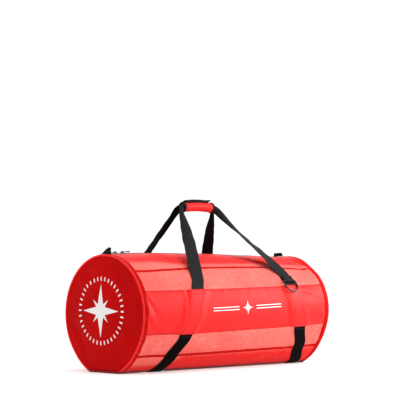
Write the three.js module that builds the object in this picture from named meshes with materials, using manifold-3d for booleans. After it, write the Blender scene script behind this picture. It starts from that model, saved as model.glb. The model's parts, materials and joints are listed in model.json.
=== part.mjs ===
// A mesh duffel for dive gear, lying closed on its flattened base, with its two webbing handles held
// together by a padded grip. The bag runs along X with its near end at -X, its front is -Y, and Z is up.
// The origin is on the base, under the middle of the bag. All sizes are in millimetres.
import * as THREE from "three";
import Module from "manifold-3d";
import { mergeVertices } from "three/addons/utils/BufferGeometryUtils.js";

// Driving sizes of the bag
const bag_length = 810; // over the two end seams
const bag_diameter = 358; // of the filled cloth
const centre_drop = 5; // how far the filled bag's axis sinks below one radius
const settle_cut = 6; // depth of cloth that the floor presses flat
const settle_height = 60; // height up to which the cloth is drawn down by that
const pattern_roll = 2.5; // degrees that the sewn pattern is rolled towards the rear
const cloth_wall = 1.2; // coated woven cloth
const ply_gap = 0.6; // room between plies that lie on each other
const butt_gap = 0.3; // room between edges and faces that meet

// The sewn pattern, in degrees from the front midline
const seam_angle = 45.5; // middle of each of the four long seams
const panel_angle = 21.5; // edge of the plain band on the front and the rear
const facing_angle = 68; // outer edge of the cloth beside the zip, and of the base cloth below

// Trim
const seam_tape_width = 9;
const end_band_width = 13;
const piping_diameter = 6;
const piping_proud = 1; // how far the piping stands out from the side cloth
const end_crown = 8; // how far an end panel stands out at its middle

// Webbing
const webbing_width = 50;
const webbing_wall = 1.8;
const panel_fold = 11; // width of the slope where a panel climbs over webbing
const base_fold = 24; // width of the slope where the base cloth rises over webbing
const foot_room = 8; // room beside a web before that slope starts
const tangent_angle = 38; // where the free webbing first meets the bag

// Grip
const grip_length = 130;
const grip_height = 505; // middle of the grip above the floor
const grip_shift = -18; // middle of the grip along X
const grip_arch = 5; // rise of the grip's middle over its ends
const core_radius = 12; // of the two webs that lie cupped together inside the grip
const cupped_width = 28; // of the webbing inside the grip
const wrap_wall = 3.2;
const wrap_slit = 40; // degrees left open at the top, under the closure
const binding_width = 7;
const binding_proud = 1; // how far a binding stands out from the wrap
const closure_length = 108;
const closure_wall = 2.4;
const closure_spread = 84; // degrees of the grip's round that the closure covers
const leg_lead = 1; // length for which a web runs straight on out of the grip
const leg_bend = 14; // length over which it then turns down
const bend_out = 0.6; // how far the corner of that turn lies out along the grip, as a share of it
const bend_down = 0.15; // and how far down
const full_width_at = 0.6; // share of a leg at which the web has opened to its full width

// Zip
const chain_width = 9;
const chain_height = 3;
const zip_opening = 20; // between the two facings
const zip_tape_width = 30;
const slider_length = 17;
const slider_width = 13.5;
const slider_wall = 2;
const slider_bridge_width = 5;
const slider_bridge_height = 6.5;
const slider_eye = 3.4; // height of the hole that the pull hangs in
const slider_spacing = 27; // between the two sliders that meet on the closed zip
const slider_at = -0.835; // place of the middle between the sliders, as a share of the half length
const pull_length = 30;
const pull_width = 9.5;
const pull_wall = 1.6;
const pull_bar = 2; // width of the pull's rim round its window
const pull_window = 8;
const tab_width = 34;
const tab_wall = 1.6;
const tab_loop = 4; // inner diameter of a tab's fold
const tab_foot = 9;
const TABS = [
  { name: "left", at: -0.955, height: 21 },
  { name: "right", at: 0.9, height: 12 },
];

// D-ring
const ring_wire = 5;
const ring_width = 60;
const ring_drop = 44;
const ring_angle = 31; // where its bar lies, degrees above the front equator
const ring_rest = 3; // how many degrees its round end stands off a plane along the web
const ring_clearance = 0.4; // between the bar and the loop of webbing round it
const ring_tab_width = 46;
const ring_tab_length = 20;

const half = bag_length / 2;
const radius = bag_diameter / 2;
const axis_height = radius - centre_drop;
const turn = Math.PI / 180;
const web_inner = ply_gap;
const web_outer = web_inner + webbing_wall;
const over_web = web_outer + ply_gap;
const piping_inset = piping_diameter + butt_gap; // room that the piping takes at a corner
const cloth_end = half - piping_inset;
const band_end = cloth_end - end_band_width;
const mesh_end = band_end - butt_gap;

// How far the filled cloth stands out from a true round, as shares of the radius: rows from the near end
// (-1) to the far end (1), and columns round the section.
const SWELL_ANGLES = { front: 0, shoulder: 45, top: 90, far_shoulder: 135, rear: 180, low: 235 };
const SWELL = [
  { at: -1.0, front: 0.0, shoulder: 0.0, top: 0.0, far_shoulder: 0.0, rear: 0.0, low: 0.0 },
  { at: -0.62, front: 0.005, shoulder: 0.01, top: 0.022, far_shoulder: 0.01, rear: 0.005, low: 0.0 },
  { at: 0.0, front: 0.0, shoulder: 0.005, top: 0.01, far_shoulder: 0.005, rear: 0.0, low: 0.0 },
  { at: 0.5, front: 0.0, shoulder: -0.008, top: -0.022, far_shoulder: -0.01, rear: 0.0, low: 0.0 },
  { at: 0.8, front: 0.0, shoulder: -0.016, top: -0.045, far_shoulder: -0.02, rear: 0.0, low: 0.0 },
  { at: 1.0, front: 0.0, shoulder: -0.015, top: -0.035, far_shoulder: -0.02, rear: 0.0, low: 0.0 },
];

// Dents in the cloth: place along the bag as a share of the half length, angle round it, depth and length
// as shares of the radius, and spread in degrees.
const DENTS = [
  { at: 0.93, angle: 52, depth: 0.035, length: 0.3, spread: 14 },
  { at: 0.9, angle: -30, depth: 0.03, length: 0.28, spread: 16 },
  { at: 0.62, angle: 66, depth: 0.014, length: 0.4, spread: 14 },
  { at: -0.8, angle: -34, depth: 0.01, length: 0.4, spread: 16 },
  { at: 0.85, angle: 140, depth: 0.03, length: 0.35, spread: 18 },
];

// Where the middle of each web lies on the bag, as shares of the half length, from where it meets the bag
// down to the middle of the base.
const ROUTE = [
  { angle: 38, front_left: -0.382, front_right: 0.578, rear_left: -0.4, rear_right: 0.385 },
  { angle: 24, front_left: -0.427, front_right: 0.6, rear_left: -0.43, rear_right: 0.43 },
  { angle: 2.5, front_left: -0.494, front_right: 0.632, rear_left: -0.494, rear_right: 0.5 },
  { angle: -19, front_left: -0.56, front_right: 0.672, rear_left: -0.56, rear_right: 0.58 },
  { angle: -43, front_left: -0.622, front_right: 0.753, rear_left: -0.622, rear_right: 0.69 },
  { angle: -65, front_left: -0.645, front_right: 0.838, rear_left: -0.645, rear_right: 0.836 },
  { angle: -90, front_left: -0.647, front_right: 0.852, rear_left: -0.647, rear_right: 0.852 },
];

// The free stretch of each leg from the grip's end (0) to the bag (1): how far it sags, as a share of its
// length, its twist about its own line in degrees, and its cup as a share of the cup inside the grip.
const LEGS = {
  front_left: [
    { along: 0, sag: 0, twist: 0, cup: 1 },
    { along: 0.12, sag: 0, twist: 44, cup: 0.62 },
    { along: 0.3, sag: 0, twist: 33, cup: 0.3 },
    { along: 0.5, sag: 0, twist: 18, cup: 0.12 },
    { along: 0.78, sag: 0, twist: 3, cup: 0 },
    { along: 1, sag: 0, twist: 0, cup: 0 },
  ],
  rear_left: [
    { along: 0, sag: 0, twist: 0, cup: 1 },
    { along: 0.12, sag: 0, twist: -72, cup: 0.62 },
    { along: 0.3, sag: 0, twist: -52, cup: 0.3 },
    { along: 0.5, sag: 0, twist: -28, cup: 0.12 },
    { along: 0.7, sag: 0, twist: -14, cup: 0.04 },
    { along: 0.86, sag: 0, twist: -3, cup: 0 },
    { along: 1, sag: 0, twist: 0, cup: 0 },
  ],
  front_right: [
    { along: 0, sag: 0, twist: 0, cup: 1 },
    { along: 0.13, sag: 0.004, twist: -48, cup: 0.5 },
    { along: 0.3, sag: 0.01, twist: -62, cup: 0.24 },
    { along: 0.5, sag: 0.008, twist: -38, cup: 0.08 },
    { along: 0.7, sag: 0, twist: -19, cup: 0.02 },
    { along: 0.86, sag: 0, twist: -3, cup: 0 },
    { along: 1, sag: 0, twist: 0, cup: 0 },
  ],
  rear_right: [
    { along: 0, sag: 0, twist: 0, cup: 1 },
    { along: 0.12, sag: 0, twist: 0, cup: 0.4 },
    { along: 0.3, sag: 0, twist: 20, cup: 0.2 },
    { along: 0.5, sag: 0, twist: 14, cup: 0.1 },
    { along: 0.78, sag: 0, twist: 2, cup: 0 },
    { along: 1, sag: 0, twist: 0, cup: 0 },
  ],
};

// Finishes
const finish = (color, roughness, metalness = 0) =>
  new THREE.MeshStandardMaterial({ color, roughness, metalness });
const red_cloth = finish(0xe0181a, 0.5);
const end_cloth = finish(0xc2100f, 0.5);
const red_net = finish(0xf0645c, 0.7);
const red_trim = finish(0xb5120f, 0.6);
const red_wrap = finish(0xd01417, 0.6);
const black_webbing = finish(0x161616, 0.7);
const black_zip = finish(0x101012, 0.6);
const bright_metal = finish(0xb9bcc0, 0.3, 1);
const dark_metal = finish(0x26272a, 0.35, 0.6);

const wasm = await Module();
wasm.setup();

const bag = new THREE.Group();
const point = (x, y, z) => new THREE.Vector3(x, y, z);
const clamp = THREE.MathUtils.clamp;
const ease = (share) => share * share * (3 - 2 * share);
const spread = (from, to, steps) =>
  Array.from({ length: steps + 1 }, (_, i) => from + ((to - from) * i) / steps);

function add(name, geometry, material, parent = bag) {
  const mesh = new THREE.Mesh(geometry, material);
  mesh.name = name;
  parent.add(mesh);
  return mesh;
}

// A closed geometry from points and triangles, turned to face outwards.
function closed(points, triangles) {
  const part = ([a, b, c]) => points[a].dot(points[b].clone().cross(points[c]));
  const volume = triangles.reduce((sum, triangle) => sum + part(triangle), 0);
  const facing = volume < 0 ? triangles.map(([a, b, c]) => [a, c, b]) : triangles;
  const geometry = new THREE.BufferGeometry().setFromPoints(points);
  geometry.setIndex(facing.flat());
  return geometry;
}

// A solid lofted through sections, each a loop of the points of one face and then those of the other face
// in reverse, so that its two ends close as rows of quads.
function loft(sections, ring = false) {
  const around = sections[0].length;
  const last = sections.length - 1;
  const triangles = [];
  for (let i = 0; i < (ring ? sections.length : last); i++) {
    const here = i * around;
    const next = ((i + 1) % sections.length) * around;
    for (let j = 0; j < around; j++) {
      const k = (j + 1) % around;
      triangles.push([here + j, next + j, next + k], [here + j, next + k, here + k]);
    }
  }
  for (let j = 0; !ring && j < around / 2 - 1; j++) {
    const across = around - 1 - j;
    const end = last * around;
    triangles.push([j, j + 1, across - 1], [j, across - 1, across]);
    triangles.push([end + j, end + across - 1, end + j + 1], [end + j, end + across, end + across - 1]);
  }
  return closed(sections.flat(), triangles);
}

// A closed geometry as a solid, with its doubled corners merged
function solid(geometry) {
  const bare = new THREE.BufferGeometry().setAttribute("position", geometry.getAttribute("position"));
  if (geometry.index) bare.setIndex(geometry.index);
  const merged = mergeVertices(bare, 1e-4);
  const mesh = new wasm.Mesh({
    numProp: 3,
    vertProperties: new Float32Array(merged.getAttribute("position").array),
    triVerts: new Uint32Array(merged.index.array),
  });
  return new wasm.Manifold(mesh);
}

function joined(first, second) {
  const mesh = solid(first).add(solid(second)).getMesh();
  const geometry = new THREE.BufferGeometry();
  geometry.setAttribute("position", new THREE.BufferAttribute(new Float32Array(mesh.vertProperties), 3));
  geometry.setIndex(new THREE.BufferAttribute(new Uint32Array(mesh.triVerts), 1));
  return geometry;
}

// A value read off a table at a place, eased between its rows.
function read(table, key, place, column) {
  const down = table[0][key] > table[table.length - 1][key] ? -1 : 1;
  if (place * down <= table[0][key] * down) return table[0][column];
  const next = table.findIndex((row) => place * down <= row[key] * down);
  if (next < 0) return table[table.length - 1][column];
  const share = (place - table[next - 1][key]) / (table[next][key] - table[next - 1][key]);
  return THREE.MathUtils.lerp(table[next - 1][column], table[next][column], ease(share));
}

// How far the cloth stands out from the round at a place along the bag and an angle round it.
function swellAt(x, angle) {
  const columns = Object.keys(SWELL_ANGLES);
  const round = ((angle % 360) + 360) % 360;
  const starts = columns.map((column) => SWELL_ANGLES[column]);
  const before = starts.filter((start) => start <= round).length - 1;
  const after = (before + 1) % columns.length;
  const span = (after ? starts[after] : 360) - starts[before];
  const low = read(SWELL, "at", x / half, columns[before]);
  const high = read(SWELL, "at", x / half, columns[after]);
  let swell = THREE.MathUtils.lerp(low, high, ease((round - starts[before]) / span));
  for (const dent of DENTS) {
    const away = (x - dent.at * half) / (dent.length * radius);
    const aside = ((((angle - dent.angle) % 360) + 540) % 360) - 180;
    swell -= dent.depth * Math.exp(-away * away - (aside / dent.spread) ** 2);
  }
  return swell * radius;
}

// The lines that the cloth is faceted on, round the section and along the bag
const LINES = [
  { from: -seam_angle, to: -panel_angle, steps: 2 },
  { from: -panel_angle, to: panel_angle, steps: 4 },
  { from: panel_angle, to: seam_angle, steps: 2 },
  { from: seam_angle, to: facing_angle, steps: 2 },
  { from: facing_angle, to: 180 - facing_angle, steps: 4 },
  { from: 180 - facing_angle, to: 180 - seam_angle, steps: 2 },
  { from: 180 - seam_angle, to: 180 - panel_angle, steps: 2 },
  { from: 180 - panel_angle, to: 180 + panel_angle, steps: 4 },
  { from: 180 + panel_angle, to: 180 + seam_angle, steps: 2 },
  { from: 180 + seam_angle, to: 180 + facing_angle, steps: 2 },
  { from: 180 + facing_angle, to: 360 - facing_angle, steps: 4 },
  { from: 360 - facing_angle, to: 360 - seam_angle, steps: 2 },
];
const round_lines = LINES.flatMap(({ from, to, steps }) => spread(from, to, steps).slice(0, -1));
round_lines.push(360 - seam_angle);
round_lines.forEach((angle, i) => (round_lines[i] = angle + pattern_roll));
const longest_facet = 52;
const foot_place = { left: ROUTE.at(-1).front_left * half, right: ROUTE.at(-1).front_right * half };
const foot_half = webbing_width / 2 + foot_room;
const fold_end = Math.min(foot_place.right + foot_half + base_fold, band_end);
const length_marks = [
  -half,
  foot_place.left - foot_half - base_fold,
  foot_place.left - foot_half,
  foot_place.left + foot_half,
  foot_place.left + foot_half + base_fold,
  foot_place.right - foot_half - base_fold,
  foot_place.right - foot_half,
  foot_place.right + foot_half,
  fold_end,
  half,
].sort((a, b) => a - b);
const length_lines = [-half];
for (let i = 1; i < length_marks.length; i++) {
  const steps = Math.max(1, Math.ceil((length_marks[i] - length_marks[i - 1]) / longest_facet));
  length_lines.push(...spread(length_marks[i - 1], length_marks[i], steps).slice(1));
}

// How far the base cloth is held off the floor by the webs that pass under it.
function floorLift(x) {
  const left = 1 - (Math.abs(x - foot_place.left) - foot_half) / base_fold;
  const past = x > foot_place.right ? fold_end - foot_place.right - foot_half : base_fold;
  const right = 1 - (Math.abs(x - foot_place.right) - foot_half) / Math.max(past, butt_gap);
  return (webbing_wall + ply_gap) * clamp(Math.max(left, right), 0, 1);
}

// A point of the filled cloth, drawn down towards the floor and held above it.
function settled(x, angle, offset, floor) {
  const out = radius + swellAt(x, angle) + offset;
  const height = axis_height + out * Math.sin(angle * turn);
  const drawn = ((height - settle_cut) * settle_height) / (settle_height - settle_cut);
  return point(x, -out * Math.cos(angle * turn), Math.max(height < settle_height ? drawn : height, floor));
}

// The same point on the facets between the lines, so that plies laid on each other stay apart.
function skin(x, angle, offset, floor = 0) {
  const round = ((((angle - round_lines[0]) % 360) + 360) % 360) + round_lines[0];
  const j = clamp(round_lines.findIndex((line) => line >= round), 1, round_lines.length - 1);
  const i = clamp(length_lines.findIndex((line) => line >= x), 1, length_lines.length - 1);
  const around = (round - round_lines[j - 1]) / (round_lines[j] - round_lines[j - 1]);
  const along = (x - length_lines[i - 1]) / (length_lines[i] - length_lines[i - 1]);
  const at = (line) => {
    const low = settled(line, round_lines[j - 1], offset, floor);
    return low.lerp(settled(line, round_lines[j], offset, floor), around);
  };
  return at(length_lines[i - 1]).lerp(at(length_lines[i]), along).setX(x);
}

const arc = (length) => length / radius / turn;
const least_facet = 0.5; // a line nearer than this to an edge is left out
const within = (lines, from, to) => [
  from,
  ...lines.filter((line) => line > from + least_facet && line < to - least_facet),
  to,
];
const two_rounds = [...round_lines, ...round_lines.map((line) => line + 360)];
const roundBetween = (from, to) => within(two_rounds, from, to);
const lengthBetween = (from, to) => within(length_lines, from, to);

// A wall of cloth between two places along the bag and two angles round it. Its outer face has an offset
// from the skin, and where the base lies flat it keeps its thickness above the floor.
function wall(from_x, to_x, from_angle, to_angle, outer = 0, thickness = cloth_wall) {
  const angles = roundBetween(from_angle, to_angle);
  const face = (x, depth) => angles.map((angle) => skin(x, angle, outer - depth, floorLift(x) + depth));
  return loft(lengthBetween(from_x, to_x).map((x) => [...face(x, 0), ...face(x, thickness).reverse()]));
}

// The cloth of the bag, between angles of the sewn pattern
const rolled = (angle) => angle + pattern_roll;
const past_tape = arc(seam_tape_width / 2 + butt_gap);
const past_edge = arc(butt_gap / 2);
const zip_angle = rolled(90);
const facing_edge = 90 - arc(zip_opening / 2);
const tape_half = arc(seam_tape_width / 2);
const QUARTERS = [
  { side: "front", near: "upper", far: "top", turned: (angle) => angle },
  { side: "rear", near: "upper", far: "top", turned: (angle) => 180 - angle },
  { side: "rear", near: "lower", far: "bottom", turned: (angle) => 180 + angle },
  { side: "front", near: "lower", far: "bottom", turned: (angle) => 360 - angle },
];
function lengthwise(name, from, to, material) {
  const [low, high] = [rolled(from), rolled(to)].sort((a, b) => a - b);
  add(name, wall(-mesh_end, mesh_end, low, high), material);
}
for (const { side, near, far, turned } of QUARTERS) {
  const near_net = [turned(panel_angle + past_edge), turned(seam_angle - past_tape)];
  const tape = [turned(seam_angle - tape_half), turned(seam_angle + tape_half)];
  const far_net = [turned(seam_angle + past_tape), turned(facing_angle - past_edge)];
  lengthwise(`mesh_${near}_${side}`, ...near_net, red_net);
  lengthwise(`seam_tape_${near}_${side}`, ...tape, red_trim);
  lengthwise(`mesh_${far}_${side}`, ...far_net, red_net);
}
lengthwise("zip_facing_front", facing_angle + past_edge, facing_edge, red_cloth);
lengthwise("zip_facing_rear", 180 - facing_edge, 180 - facing_angle - past_edge, red_cloth);
lengthwise("base_panel", 180 + facing_angle + past_edge, 360 - facing_angle - past_edge, red_cloth);

// The bands that bind the mesh at both ends, as rings
function ringWall(from_x, to_x) {
  const face = (x, angle, depth) => skin(x, angle, -depth, floorLift(x) + depth);
  const sections = round_lines.slice(0, -1).map((angle) => {
    const along = (depth) => lengthBetween(from_x, to_x).map((x) => face(x, angle, depth));
    return [...along(0), ...along(cloth_wall).reverse()];
  });
  return loft(sections, true);
}
add("end_band_left", ringWall(-cloth_end, -band_end), red_trim);
add("end_band_right", ringWall(band_end, cloth_end), red_trim);

// The place of a web's middle along the bag. The front and rear webs share the same table of angles.
function webPlace(side, end, angle) {
  const front_angle = side === "front" ? angle : 180 - angle;
  return read(ROUTE, "angle", front_angle, `${side}_${end}`) * half;
}

// The plain bands on the front and the rear, which climb over the webs that pass under them
const panel_steps = 3; // facets from an end to the nearer web
function bandPanel(side) {
  const middle = side === "front" ? rolled(0) : rolled(180);
  const angles = roundBetween(middle - panel_angle + past_edge, middle + panel_angle - past_edge);
  const web = webbing_width / 2 + ply_gap;
  const flat = (places) => places.map((x) => ({ x, rise: 0 }));
  const climb = (middle_x) => [
    { x: middle_x - web - panel_fold, rise: 0 },
    { x: middle_x - web, rise: over_web },
    { x: middle_x + web, rise: over_web },
    { x: middle_x + web + panel_fold, rise: 0 },
  ];
  const columns = (angle) => {
    const left = climb(webPlace(side, "left", angle));
    const right = climb(webPlace(side, "right", angle));
    return [
      ...flat(spread(-mesh_end, left[0].x, panel_steps).slice(0, -1)),
      ...left,
      ...flat(spread(left[3].x, right[0].x, 2 * panel_steps).slice(1, -1)),
      ...right,
      ...flat(spread(right[3].x, mesh_end, panel_steps).slice(1)),
    ].map((column) => ({ ...column, angle }));
  };
  const rows = angles.map(columns);
  const face = (i, raised, flat_depth) =>
    rows.map((row) => skin(row[i].x, row[i].angle, row[i].rise ? row[i].rise + raised : -flat_depth));
  return loft(rows[0].map((_, i) => [...face(i, cloth_wall, 0), ...face(i, 0, cloth_wall).reverse()]));
}
add("side_panel_front", bandPanel("front"), red_cloth);
add("side_panel_rear", bandPanel("rear"), red_cloth);

// Piping round each end: a cord of cloth in the corner between the side and the end panel
const piping_radius = piping_diameter / 2;
function piping(end) {
  const centre = half - piping_radius;
  const sections = round_lines.slice(0, -1).map((angle) =>
    spread(0, 360, 8).slice(0, -1).map((step) => {
      const out = piping_radius * Math.cos(step * turn);
      const place = end * (centre + piping_radius * Math.sin(step * turn));
      return skin(place, angle, piping_proud - piping_radius + out, piping_radius - out);
    })
  );
  return loft(sections, true);
}
add("piping_left", piping(-1), red_cloth);
add("piping_right", piping(1), red_cloth);

// End panels: discs inside the piping, crowned outwards
const end_rings = [1, 0.7, 0.35]; // rings of the disc, as shares of its radius
function endPanel(end) {
  const place = end * (half - piping_radius);
  const rim = round_lines.slice(0, -1).map((angle) =>
    skin(place, angle, piping_proud - piping_inset, piping_inset)
  );
  const middle = point(place, 0, axis_height);
  const out = (share, depth) => place + end * (end_crown * (1 - share * share) - depth);
  const ringAt = (share, depth) =>
    rim.map((edge) => middle.clone().lerp(edge, share).setX(out(share, depth)));
  const face = (depth) => [
    ...end_rings.flatMap((share) => ringAt(share, depth)),
    middle.clone().setX(out(0, depth)),
  ];
  const count = rim.length;
  const points = [...face(0), ...face(cloth_wall)];
  const inner = points.length / 2;
  const disc = (start, flipped) => {
    const triangles = [];
    for (let j = 0; j < count; j++) {
      const k = (j + 1) % count;
      for (let ring = start; ring < start + (end_rings.length - 1) * count; ring += count) {
        triangles.push([ring + j, ring + k, ring + count + k]);
        triangles.push([ring + j, ring + count + k, ring + count + j]);
      }
      const last = start + (end_rings.length - 1) * count;
      triangles.push([last + j, last + k, start + inner - 1]);
    }
    return flipped ? triangles.map(([a, b, c]) => [a, c, b]) : triangles;
  };
  const edge = rim.flatMap((_, j) => {
    const k = (j + 1) % count;
    return [[j, inner + k, k], [j, inner + j, inner + k]];
  });
  return closed(points, [...disc(0, false), ...disc(inner, true), ...edge]);
}
add("end_panel_left", endPanel(-1), end_cloth);
add("end_panel_right", endPanel(1), end_cloth);

// Webs: each leg comes out of the grip, meets the bag and ends under the middle of a side panel.
const across_shares = spread(-0.5, 0.5, 4);
const grip_cup = cupped_width / (core_radius - webbing_wall);

// A section of free webbing: cupped about a line, with its outer face towards the outward direction.
function webSection({ at, along, across, width, cup }) {
  const outward = across.clone().cross(along).normalize();
  const bend = Math.max(cup, 0.01) * grip_cup;
  const inner_radius = width / bend;
  const face = (depth) =>
    across_shares.map((share) => {
      const reach = inner_radius + depth;
      const aside = across.clone().multiplyScalar(reach * Math.sin(bend * share));
      return at.clone().add(aside).addScaledVector(outward, reach * Math.cos(bend * share) - inner_radius);
    });
  return [...face(webbing_wall), ...face(0).reverse()];
}

// A section of webbing that lies on the bag.
function laidSection(side, end, angle, flip) {
  const middle = webPlace(side, end, angle);
  const face = (offset, floor) =>
    across_shares.map((share) => skin(middle + flip * share * webbing_width, angle, offset, floor));
  return [...face(web_outer, 0), ...face(web_inner, webbing_wall).reverse()];
}

const grip_half = grip_length / 2;
function gripCentre(x) {
  const share = (x - grip_shift) / grip_half;
  return point(x, 0, grip_height - grip_arch * share * share);
}

function strapLeg(side, end) {
  const front = side === "front" ? -1 : 1;
  const outwards = end === "left" ? -1 : 1;
  const rows = LEGS[`${side}_${end}`];
  const grip_steps = spread(butt_gap / 2, grip_half + leg_lead, 4).map((reach) => {
    const aside = point(0, front * (core_radius - webbing_wall), 0);
    const at = gripCentre(grip_shift + outwards * reach).add(aside);
    const along = point(outwards, 0, 0);
    return { at, along, across: point(0, 0, front * outwards), width: cupped_width, cup: rows[0].cup };
  });
  const meet_angle = side === "front" ? tangent_angle : 180 - tangent_angle;
  const meet = webPlace(side, end, meet_angle);
  const landing = skin(meet, meet_angle, web_inner);
  const start = grip_steps.at(-1).at;
  const corner = start.clone().add(point(outwards * leg_bend * bend_out, 0, -leg_bend * bend_down));
  const into = landing.clone().sub(corner).normalize();
  const turned = corner.clone().addScaledVector(into, leg_bend);
  const bend = new THREE.QuadraticBezierCurve3(start, corner, turned);
  const free = landing.distanceTo(turned);
  const total = free + leg_bend;
  const bent = (share) => ({
    at: bend.getPoint(share),
    along: bend.getTangent(share),
    run: share * leg_bend,
  });
  const straight = (share) => ({
    at: turned.clone().addScaledVector(into, share * free),
    along: into,
    run: leg_bend + share * free,
  });
  const path = [...[0.35, 0.7, 1].map(bent), ...[0.22, 0.42, 0.62, 0.82].map(straight)];
  const free_steps = path.map(({ at, along, run }) => {
    const share = run / total;
    const across = grip_steps[0].across.clone().lerp(point(front, 0, 0), ease(share));
    across.addScaledVector(along, -across.dot(along)).normalize();
    across.applyAxisAngle(along, read(rows, "along", share, "twist") * turn);
    const sagged = at.clone().setZ(at.z - read(rows, "along", share, "sag") * total);
    const width = THREE.MathUtils.lerp(cupped_width, webbing_width, ease(clamp(share / full_width_at, 0, 1)));
    return { at: sagged, along, across, width, cup: read(rows, "along", share, "cup") };
  });
  const stop = side === "front" ? rolled(0) + past_edge : rolled(180) - past_edge;
  const laid = roundBetween(Math.min(stop, meet_angle), Math.max(stop, meet_angle));
  if (side === "front") laid.reverse();
  const sections = [
    ...[...grip_steps, ...free_steps].map(webSection),
    ...laid.map((angle) => laidSection(side, end, angle, front)),
  ];
  return loft(sections);
}

// The stretch of each web from the middle of the front panel, under the base, to that of the rear panel
function bellyWeb(end) {
  const angles = roundBetween(rolled(180) + past_edge, rolled(360) - past_edge);
  const sections = angles.map((angle) => {
    const side = angle < 270 ? "rear" : "front";
    return laidSection(side, end, side === "front" ? angle - 360 : angle, 1);
  });
  return loft(sections);
}
for (const end of ["left", "right"]) {
  add(`strap_front_${end}`, strapLeg("front", end), black_webbing);
  add(`strap_rear_${end}`, strapLeg("rear", end), black_webbing);
  add(`belly_web_${end}`, bellyWeb(end), black_webbing);
}

// Grip: a padded wrap round both webs, bound at its ends, with a closure along the top
const wrap_inner = core_radius + ply_gap;
function gripShell(from_x, to_x, inner, thickness, from_angle, to_angle, steps) {
  const sections = spread(from_x, to_x, 6).map((x) => {
    const centre = gripCentre(x);
    const face = (reach) =>
      spread(from_angle, to_angle, steps).map((angle) =>
        centre.clone().add(point(0, reach * Math.cos(angle * turn), reach * Math.sin(angle * turn)))
      );
    return [...face(inner + thickness), ...face(inner).reverse()];
  });
  return loft(sections);
}
const wrap_reach = grip_half - binding_width - butt_gap;
const wrap = gripShell(
  grip_shift - wrap_reach,
  grip_shift + wrap_reach,
  wrap_inner,
  wrap_wall,
  90 + wrap_slit / 2,
  450 - wrap_slit / 2,
  16
);
add("grip_wrap", wrap, red_wrap);
const closure = gripShell(
  grip_shift - closure_length / 2,
  grip_shift + closure_length / 2,
  wrap_inner + wrap_wall + butt_gap,
  closure_wall,
  90 - closure_spread / 2,
  90 + closure_spread / 2,
  6
);
add("grip_closure", closure, black_webbing);
function gripBinding(end) {
  const places = [grip_half - binding_width, grip_half].map((reach) => grip_shift + end * reach);
  const sections = spread(0, 360, 16).slice(0, -1).map((angle) => {
    const at = (x, reach) =>
      gripCentre(x).add(point(0, reach * Math.cos(angle * turn), reach * Math.sin(angle * turn)));
    const face = (reach) => places.map((x) => at(x, reach));
    return [...face(wrap_inner + wrap_wall + binding_proud), ...face(wrap_inner).reverse()];
  });
  return loft(sections, true);
}
add("grip_binding_left", gripBinding(-1), black_webbing);
add("grip_binding_right", gripBinding(1), black_webbing);

// Zip: a tape under the two facings, with its chain between them
const tape_outer = -cloth_wall - butt_gap;
const chain_outer = tape_outer + butt_gap + chain_height;
const tab_places = TABS.map(({ at }) => at * half);
const chain_reach = tab_loop / 2 + tab_foot + ply_gap;
const tape_side = arc(zip_tape_width / 2);
const chain_side = arc(chain_width / 2);
const tape = wall(-mesh_end, mesh_end, zip_angle - tape_side, zip_angle + tape_side, tape_outer);
add("zip_tape", tape, black_zip);
const chain = wall(
  tab_places[0] + chain_reach,
  tab_places[1] - chain_reach,
  zip_angle - chain_side,
  zip_angle + chain_side,
  chain_outer,
  chain_height
);
add("zip_chain", chain, black_zip);

// A group that stands on the skin: its X runs along the bag, its Z points outwards.
function seat(x, angle, offset, reach = 6) {
  const at = skin(x, angle, offset);
  const along = skin(x + reach, angle, offset).sub(skin(x - reach, angle, offset)).normalize();
  const aside = arc(reach);
  const across = skin(x, angle - aside, offset).sub(skin(x, angle + aside, offset)).normalize();
  const outward = across.clone().cross(along).normalize().negate();
  if (outward.dot(point(0, -Math.cos(angle * turn), Math.sin(angle * turn))) < 0) outward.negate();
  const group = new THREE.Group();
  group.position.copy(at);
  const basis = new THREE.Matrix4().makeBasis(along, outward.clone().cross(along), outward);
  group.quaternion.setFromRotationMatrix(basis);
  bag.add(group);
  return group;
}

function rectangle(shape, from_x, to_x, from_y, to_y) {
  shape.moveTo(from_x, from_y).lineTo(to_x, from_y).lineTo(to_x, to_y).lineTo(from_x, to_y).closePath();
  return shape;
}

// A slider: a tapered plate over the chain, with a bridge whose eye holds the pull
const eye_half = pull_bar / 2 + 1.2;
function sliderBody() {
  const plate = new THREE.Shape();
  const nose = slider_length / 2;
  const side = slider_width / 2;
  plate.moveTo(-nose, -side * 0.6).lineTo(-nose * 0.3, -side).lineTo(nose, -side * 0.75);
  plate.lineTo(nose, side * 0.75).lineTo(-nose * 0.3, side).lineTo(-nose, side * 0.6).closePath();
  const base = new THREE.ExtrudeGeometry(plate, { depth: slider_wall, bevelEnabled: false });
  const bridge = new THREE.Shape();
  const foot = eye_half + slider_wall;
  const shoulder = slider_bridge_height * 0.7;
  bridge.moveTo(-foot, slider_wall / 2).lineTo(foot, slider_wall / 2).lineTo(foot, shoulder);
  bridge.lineTo(foot * 0.6, slider_bridge_height).lineTo(-foot * 0.6, slider_bridge_height);
  bridge.lineTo(-foot, shoulder).closePath();
  const eye_top = slider_wall + slider_eye;
  bridge.holes.push(rectangle(new THREE.Path(), -eye_half, eye_half, slider_wall, eye_top));
  const arch = new THREE.ExtrudeGeometry(bridge, { depth: slider_bridge_width, bevelEnabled: false });
  arch.rotateX(Math.PI / 2).translate(0, slider_bridge_width / 2, 0);
  return joined(base, arch);
}

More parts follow.
